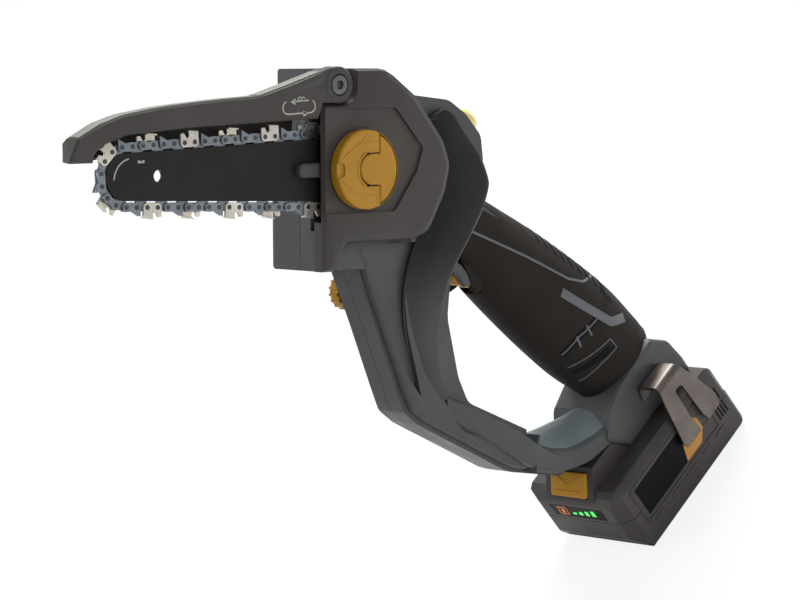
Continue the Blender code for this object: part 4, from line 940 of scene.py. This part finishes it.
# Battery: its near side, the border round the label, the label's fields and the gauge's face
BATTERY_NEAR = -36.0
BORDER = [(3, 15), (3, 38), (72, 38), (76, 34), (76, 15)]
LABEL_FIELD = [(6, 18), (45, 18), (51, 36), (6, 36)]
LABEL_WEDGE = [(45.4, 18), (60, 18), (66, 24), (66, 31), (61, 36), (51.4, 36)]
HOOK_MARK = [(0, 13), (9, 13), (9, 9), (7.4, 9), (7.4, 11.4), (0, 11.4)]
HOOK_MARK_PLACES = (8, 24, 40, 56, 70)
VENT_PLACES = (78.4, 80.8, 83.2, 85.6)
VENT_SPANS = ((16, 24.0), (26, 34.0))
VENT_WIDTH = 1.2
GAUGE_FRONT = -8.95
GAUGE_TILE = 0.3
CHARGE_BARS = 4
CHARGE_BAR_FOOT = 28.2
# The sides and the middle of the charge icon: Y, Z, width and height
CHARGE_ICON = ((12, 32.8, 7, 0.6), (12, 27.4, 7, 0.6), (15.2, 30, 0.6, 5.4), (8.8, 30, 0.6, 5.4),
               (12, 30, 2.4, 3.0))
# The release button's face: its rise over its run, and where its foot lies
RELEASE_RISE = 15.0
RELEASE_RUN = 12.0
RELEASE_FOOT = (-9, 40)


def release_relief():
    """The chevron raised on the release button, drawn square to the neck's slope."""
    slope = math.atan2(RELEASE_RISE, RELEASE_RUN)
    along, height = RELEASE_FOOT
    face = Matrix(((0, math.sin(slope), math.cos(slope), along * MM), (-1, 0, 0, 0),
                   (0, -math.cos(slope), math.sin(slope), height * MM), (0, 0, 0, 1)))
    bm = bmesh.new()
    slab(bm, ribbon([(-9, 13.4), (0, 8.2), (9, 13.4)], 1.3), -1.85, -1.0)
    slab(bm, ribbon([(-10, 5.0), (10, 5.0)], 1.0), -1.75, -1.0)
    finished("release_chevron", bm, GOLD, "release", BATTERY @ face)


def gauge_tile(bm, y, z, wide, high):
    """A thin tile on the gauge's face."""
    verts = bmesh.ops.create_cube(bm, size=1.0)["verts"]
    bmesh.ops.scale(bm, vec=(GAUGE_TILE, wide, high), verts=verts)
    bmesh.ops.translate(bm, vec=(GAUGE_FRONT, y, z), verts=verts)


def battery_plate(name, material, outlines, rise, thick):
    """A piece of thin plates on the battery's near side."""
    bm = bmesh.new()
    for outline in outlines:
        slab(bm, outline, BATTERY_NEAR - rise, BATTERY_NEAR - rise + thick)
    finished(name, bm, material, "battery", BATTERY)


def battery_details():
    """The label's field and wedge, the raised border, the relief marks, the vents as dark plates of painted
    shade, and the gauge.
    """
    bm = bmesh.new()
    for k, corner in enumerate(BORDER):
        slab(bm, ribbon([BORDER[k - 1], corner], 1.2), BATTERY_NEAR - 0.45, BATTERY_NEAR + 0.75)
    for place in HOOK_MARK_PLACES:
        mark = [(place + along, height) for along, height in HOOK_MARK]
        slab(bm, mark, BATTERY_NEAR - 0.4, BATTERY_NEAR + 0.8, 0.2)
    finished("battery_relief", bm, CHARCOAL, "battery", BATTERY)
    battery_plate("battery_label", LABEL_BLACK, [LABEL_FIELD], 0.25, 0.5)
    battery_plate("battery_label_wedge", LABEL_GOLD, [LABEL_WEDGE], 0.25, 0.5)
    # The vents are thin dark plates of painted shade.
    vent_shade = [oblong(x, low, x + VENT_WIDTH, high) for x in VENT_PLACES for low, high in VENT_SPANS]
    battery_plate("battery_vent_shade", DARK_AND_SHADE, vent_shade, 0.1, 0.6)
    bars, icon = bmesh.new(), bmesh.new()
    for k in range(CHARGE_BARS):
        tall = 1.4 + 0.9 * k
        gauge_tile(bars, 3.5 - 5.0 * k, CHARGE_BAR_FOOT + tall / 2, 2.6, tall)
    for y, z, wide, high in CHARGE_ICON:
        gauge_tile(icon, y, z, wide, high)
    release_relief()
    finished("charge_bars", bars, GREEN_LIGHT, "battery", BATTERY)
    finished("charge_icon", icon, AMBER_LIGHT, "battery", BATTERY)


# Dressing: the CAD nodes that keep their shape, with their finish and how far their edges are softened
SOFT_EDGES = (("tension_knob", GOLD, 0.4), ("knob_flap", GOLD, 0.35), ("guide_bar", BAR_BLACK, 0.1),
              ("lock_off_button", PALE_GOLD_AND_LIGHT, 0.6), ("trigger", GOLD, 0.6), ("oil_cap", GOLD, 0.3),
              ("release_button", GOLD, 0.5), ("belt_hook", HOOK_STEEL, 0.3), ("battery_tub", CHARCOAL, 0.7),
              ("battery_lid", CHARCOAL, 0.7), ("tension_slider", SLATE, 0.4),
              ("guard_pivot_screw", SCREW_STEEL, 0.2))


def dress():
    """Every piece of the saw, and finishes on the nodes that are shown as they are."""
    housing_skins()
    seam_shade_sheet()
    collar_band()
    guard_marks()
    guard_wedge()
    guard_top_painted_light()
    toe_dish()
    arm_flanks()
    knob_relief()
    saw_chain()
    grip_sleeve()
    grip_details()
    trigger_walls()
    battery_details()
    for node, material, soften in SOFT_EDGES:
        reskin(node, material, soften)
    for part in frame["record"]["subparts"]:
        node = frame["nodes"][part["node"]]
        for slot in node.material_slots:
            slot.material = SLOT_OF[part["material_slot"]]


# Camera and studio

# What the lamps are aimed at, how white the camera sees the floor, and the world's strength on the saw
LAMP_AIM = Vector((-0.02, 0, 0.2))
FLOOR_HALF = 6
FLOOR_DROP = 0.0005
FLOOR_WHITENESS = 0.86
WORLD_STRENGTH = 0.3
# Each lamp's place from the aim in the camera's own axes, its width and its watts
LAMPS = (("top_lamp", (-0.2, 1.3, -0.35), 0.9, 26), ("left_lamp", (-1.3, 0.3, 0.2), 0.8, 6),
         ("right_lamp", (1.2, 0.5, -0.6), 0.6, 8), ("front_lamp", (0.5, 0.4, 1.5), 1.0, 7))


def camera():
    """The photograph's camera, found in the tool's frame and turned with the saw."""
    turn, rise = CAMERA_AZIMUTH, CAMERA_RISE
    back = Vector((math.sin(turn) * math.cos(rise), -math.cos(turn) * math.cos(rise), math.sin(rise)))
    level = (-back).cross(Vector((0, 0, 1))).normalized()
    upright = level.cross(-back)
    right = level * math.cos(CAMERA_ROLL) + upright * math.sin(CAMERA_ROLL)
    up = upright * math.cos(CAMERA_ROLL) - level * math.sin(CAMERA_ROLL)
    pose = Matrix((right, up, back)).transposed().to_4x4()
    pose.translation = CAMERA_SPOT * MM
    lens = bpy.data.cameras.new("photo_camera")
    lens.sensor_width = 36
    lens.lens = CAMERA_LENS
    lens.clip_end = 50
    made = linked("photo_camera", lens)
    made.matrix_world = TOOL @ pose
    bpy.context.scene.camera = made
    return made.matrix_world


def area_light(name, view, offset, size, watts):
    """A soft lamp at an offset from the object, written in the camera's own axes and aimed at the object."""
    lamp = bpy.data.lights.new(name, "AREA")
    lamp.shape = "DISK"
    lamp.size = size
    lamp.energy = watts
    spot = LAMP_AIM + view.to_3x3() @ Vector(offset)
    aim = (LAMP_AIM - spot).to_track_quat("-Z", "Y").to_matrix().to_4x4()
    linked(name, lamp).matrix_world = Matrix.Translation(spot) @ aim


def mixed(tree, share, first, second, output):
    """Two shaders mixed by a share and sent to an output."""
    mix = tree.nodes.new("ShaderNodeMixShader")
    tree.links.new(share, mix.inputs["Fac"])
    tree.links.new(first, mix.inputs[1])
    tree.links.new(second, mix.inputs[2])
    tree.links.new(mix.outputs["Shader"], tree.nodes[output].inputs["Surface"])


def pale_floor():
    """A floor that the camera sees nearly white, with a soft shadow on it."""
    bm = bmesh.new()
    bmesh.ops.create_grid(bm, x_segments=1, y_segments=1, size=FLOOR_HALF)
    mesh = bpy.data.meshes.new("floor")
    bm.to_mesh(mesh)
    bm.free()
    floor = linked("floor", mesh)
    floor.location = (0, 0, -FLOOR_DROP)
    paint = bpy.data.materials.new("pale_floor")
    paint.use_nodes = True
    tree = paint.node_tree
    shader = tree.nodes["Principled BSDF"]
    shader.inputs["Base Color"].default_value = (0.9, 0.9, 0.9, 1)
    shader.inputs["Roughness"].default_value = 0.9
    glow = tree.nodes.new("ShaderNodeEmission")
    path = tree.nodes.new("ShaderNodeLightPath")
    share = tree.nodes.new("ShaderNodeMath")
    share.operation = "MULTIPLY"
    share.inputs[1].default_value = FLOOR_WHITENESS
    tree.links.new(path.outputs["Is Camera Ray"], share.inputs[0])
    mixed(tree, share.outputs["Value"], shader.outputs["BSDF"], glow.outputs["Emission"], "Material Output")
    mesh.materials.append(paint)


def bright_world():
    """A world that is white to the camera and lights the saw with a soft, cool light."""
    world = bpy.data.worlds.new("studio")
    bpy.context.scene.world = world
    world.use_nodes = True
    tree = world.node_tree
    light = tree.nodes["Background"]
    light.inputs["Color"].default_value = (0.93, 0.96, 1.0, 1)
    light.inputs["Strength"].default_value = WORLD_STRENGTH
    white = tree.nodes.new("ShaderNodeBackground")
    white.inputs["Color"].default_value = (1, 1, 1, 1)
    path = tree.nodes.new("ShaderNodeLightPath")
    seen_by = reckoned(tree, "MAXIMUM", path.outputs["Is Camera Ray"], path.outputs["Is Transmission Ray"])
    mixed(tree, seen_by, light.outputs["Background"], white.outputs["Background"], "World Output")


bpy.context.scene.view_settings.view_transform = "Standard"
dress()
pale_floor()
bright_world()
photo_view = camera()
for lamp_name, lamp_offset, lamp_size, lamp_watts in LAMPS:
    area_light(lamp_name, photo_view, lamp_offset, lamp_size, lamp_watts)
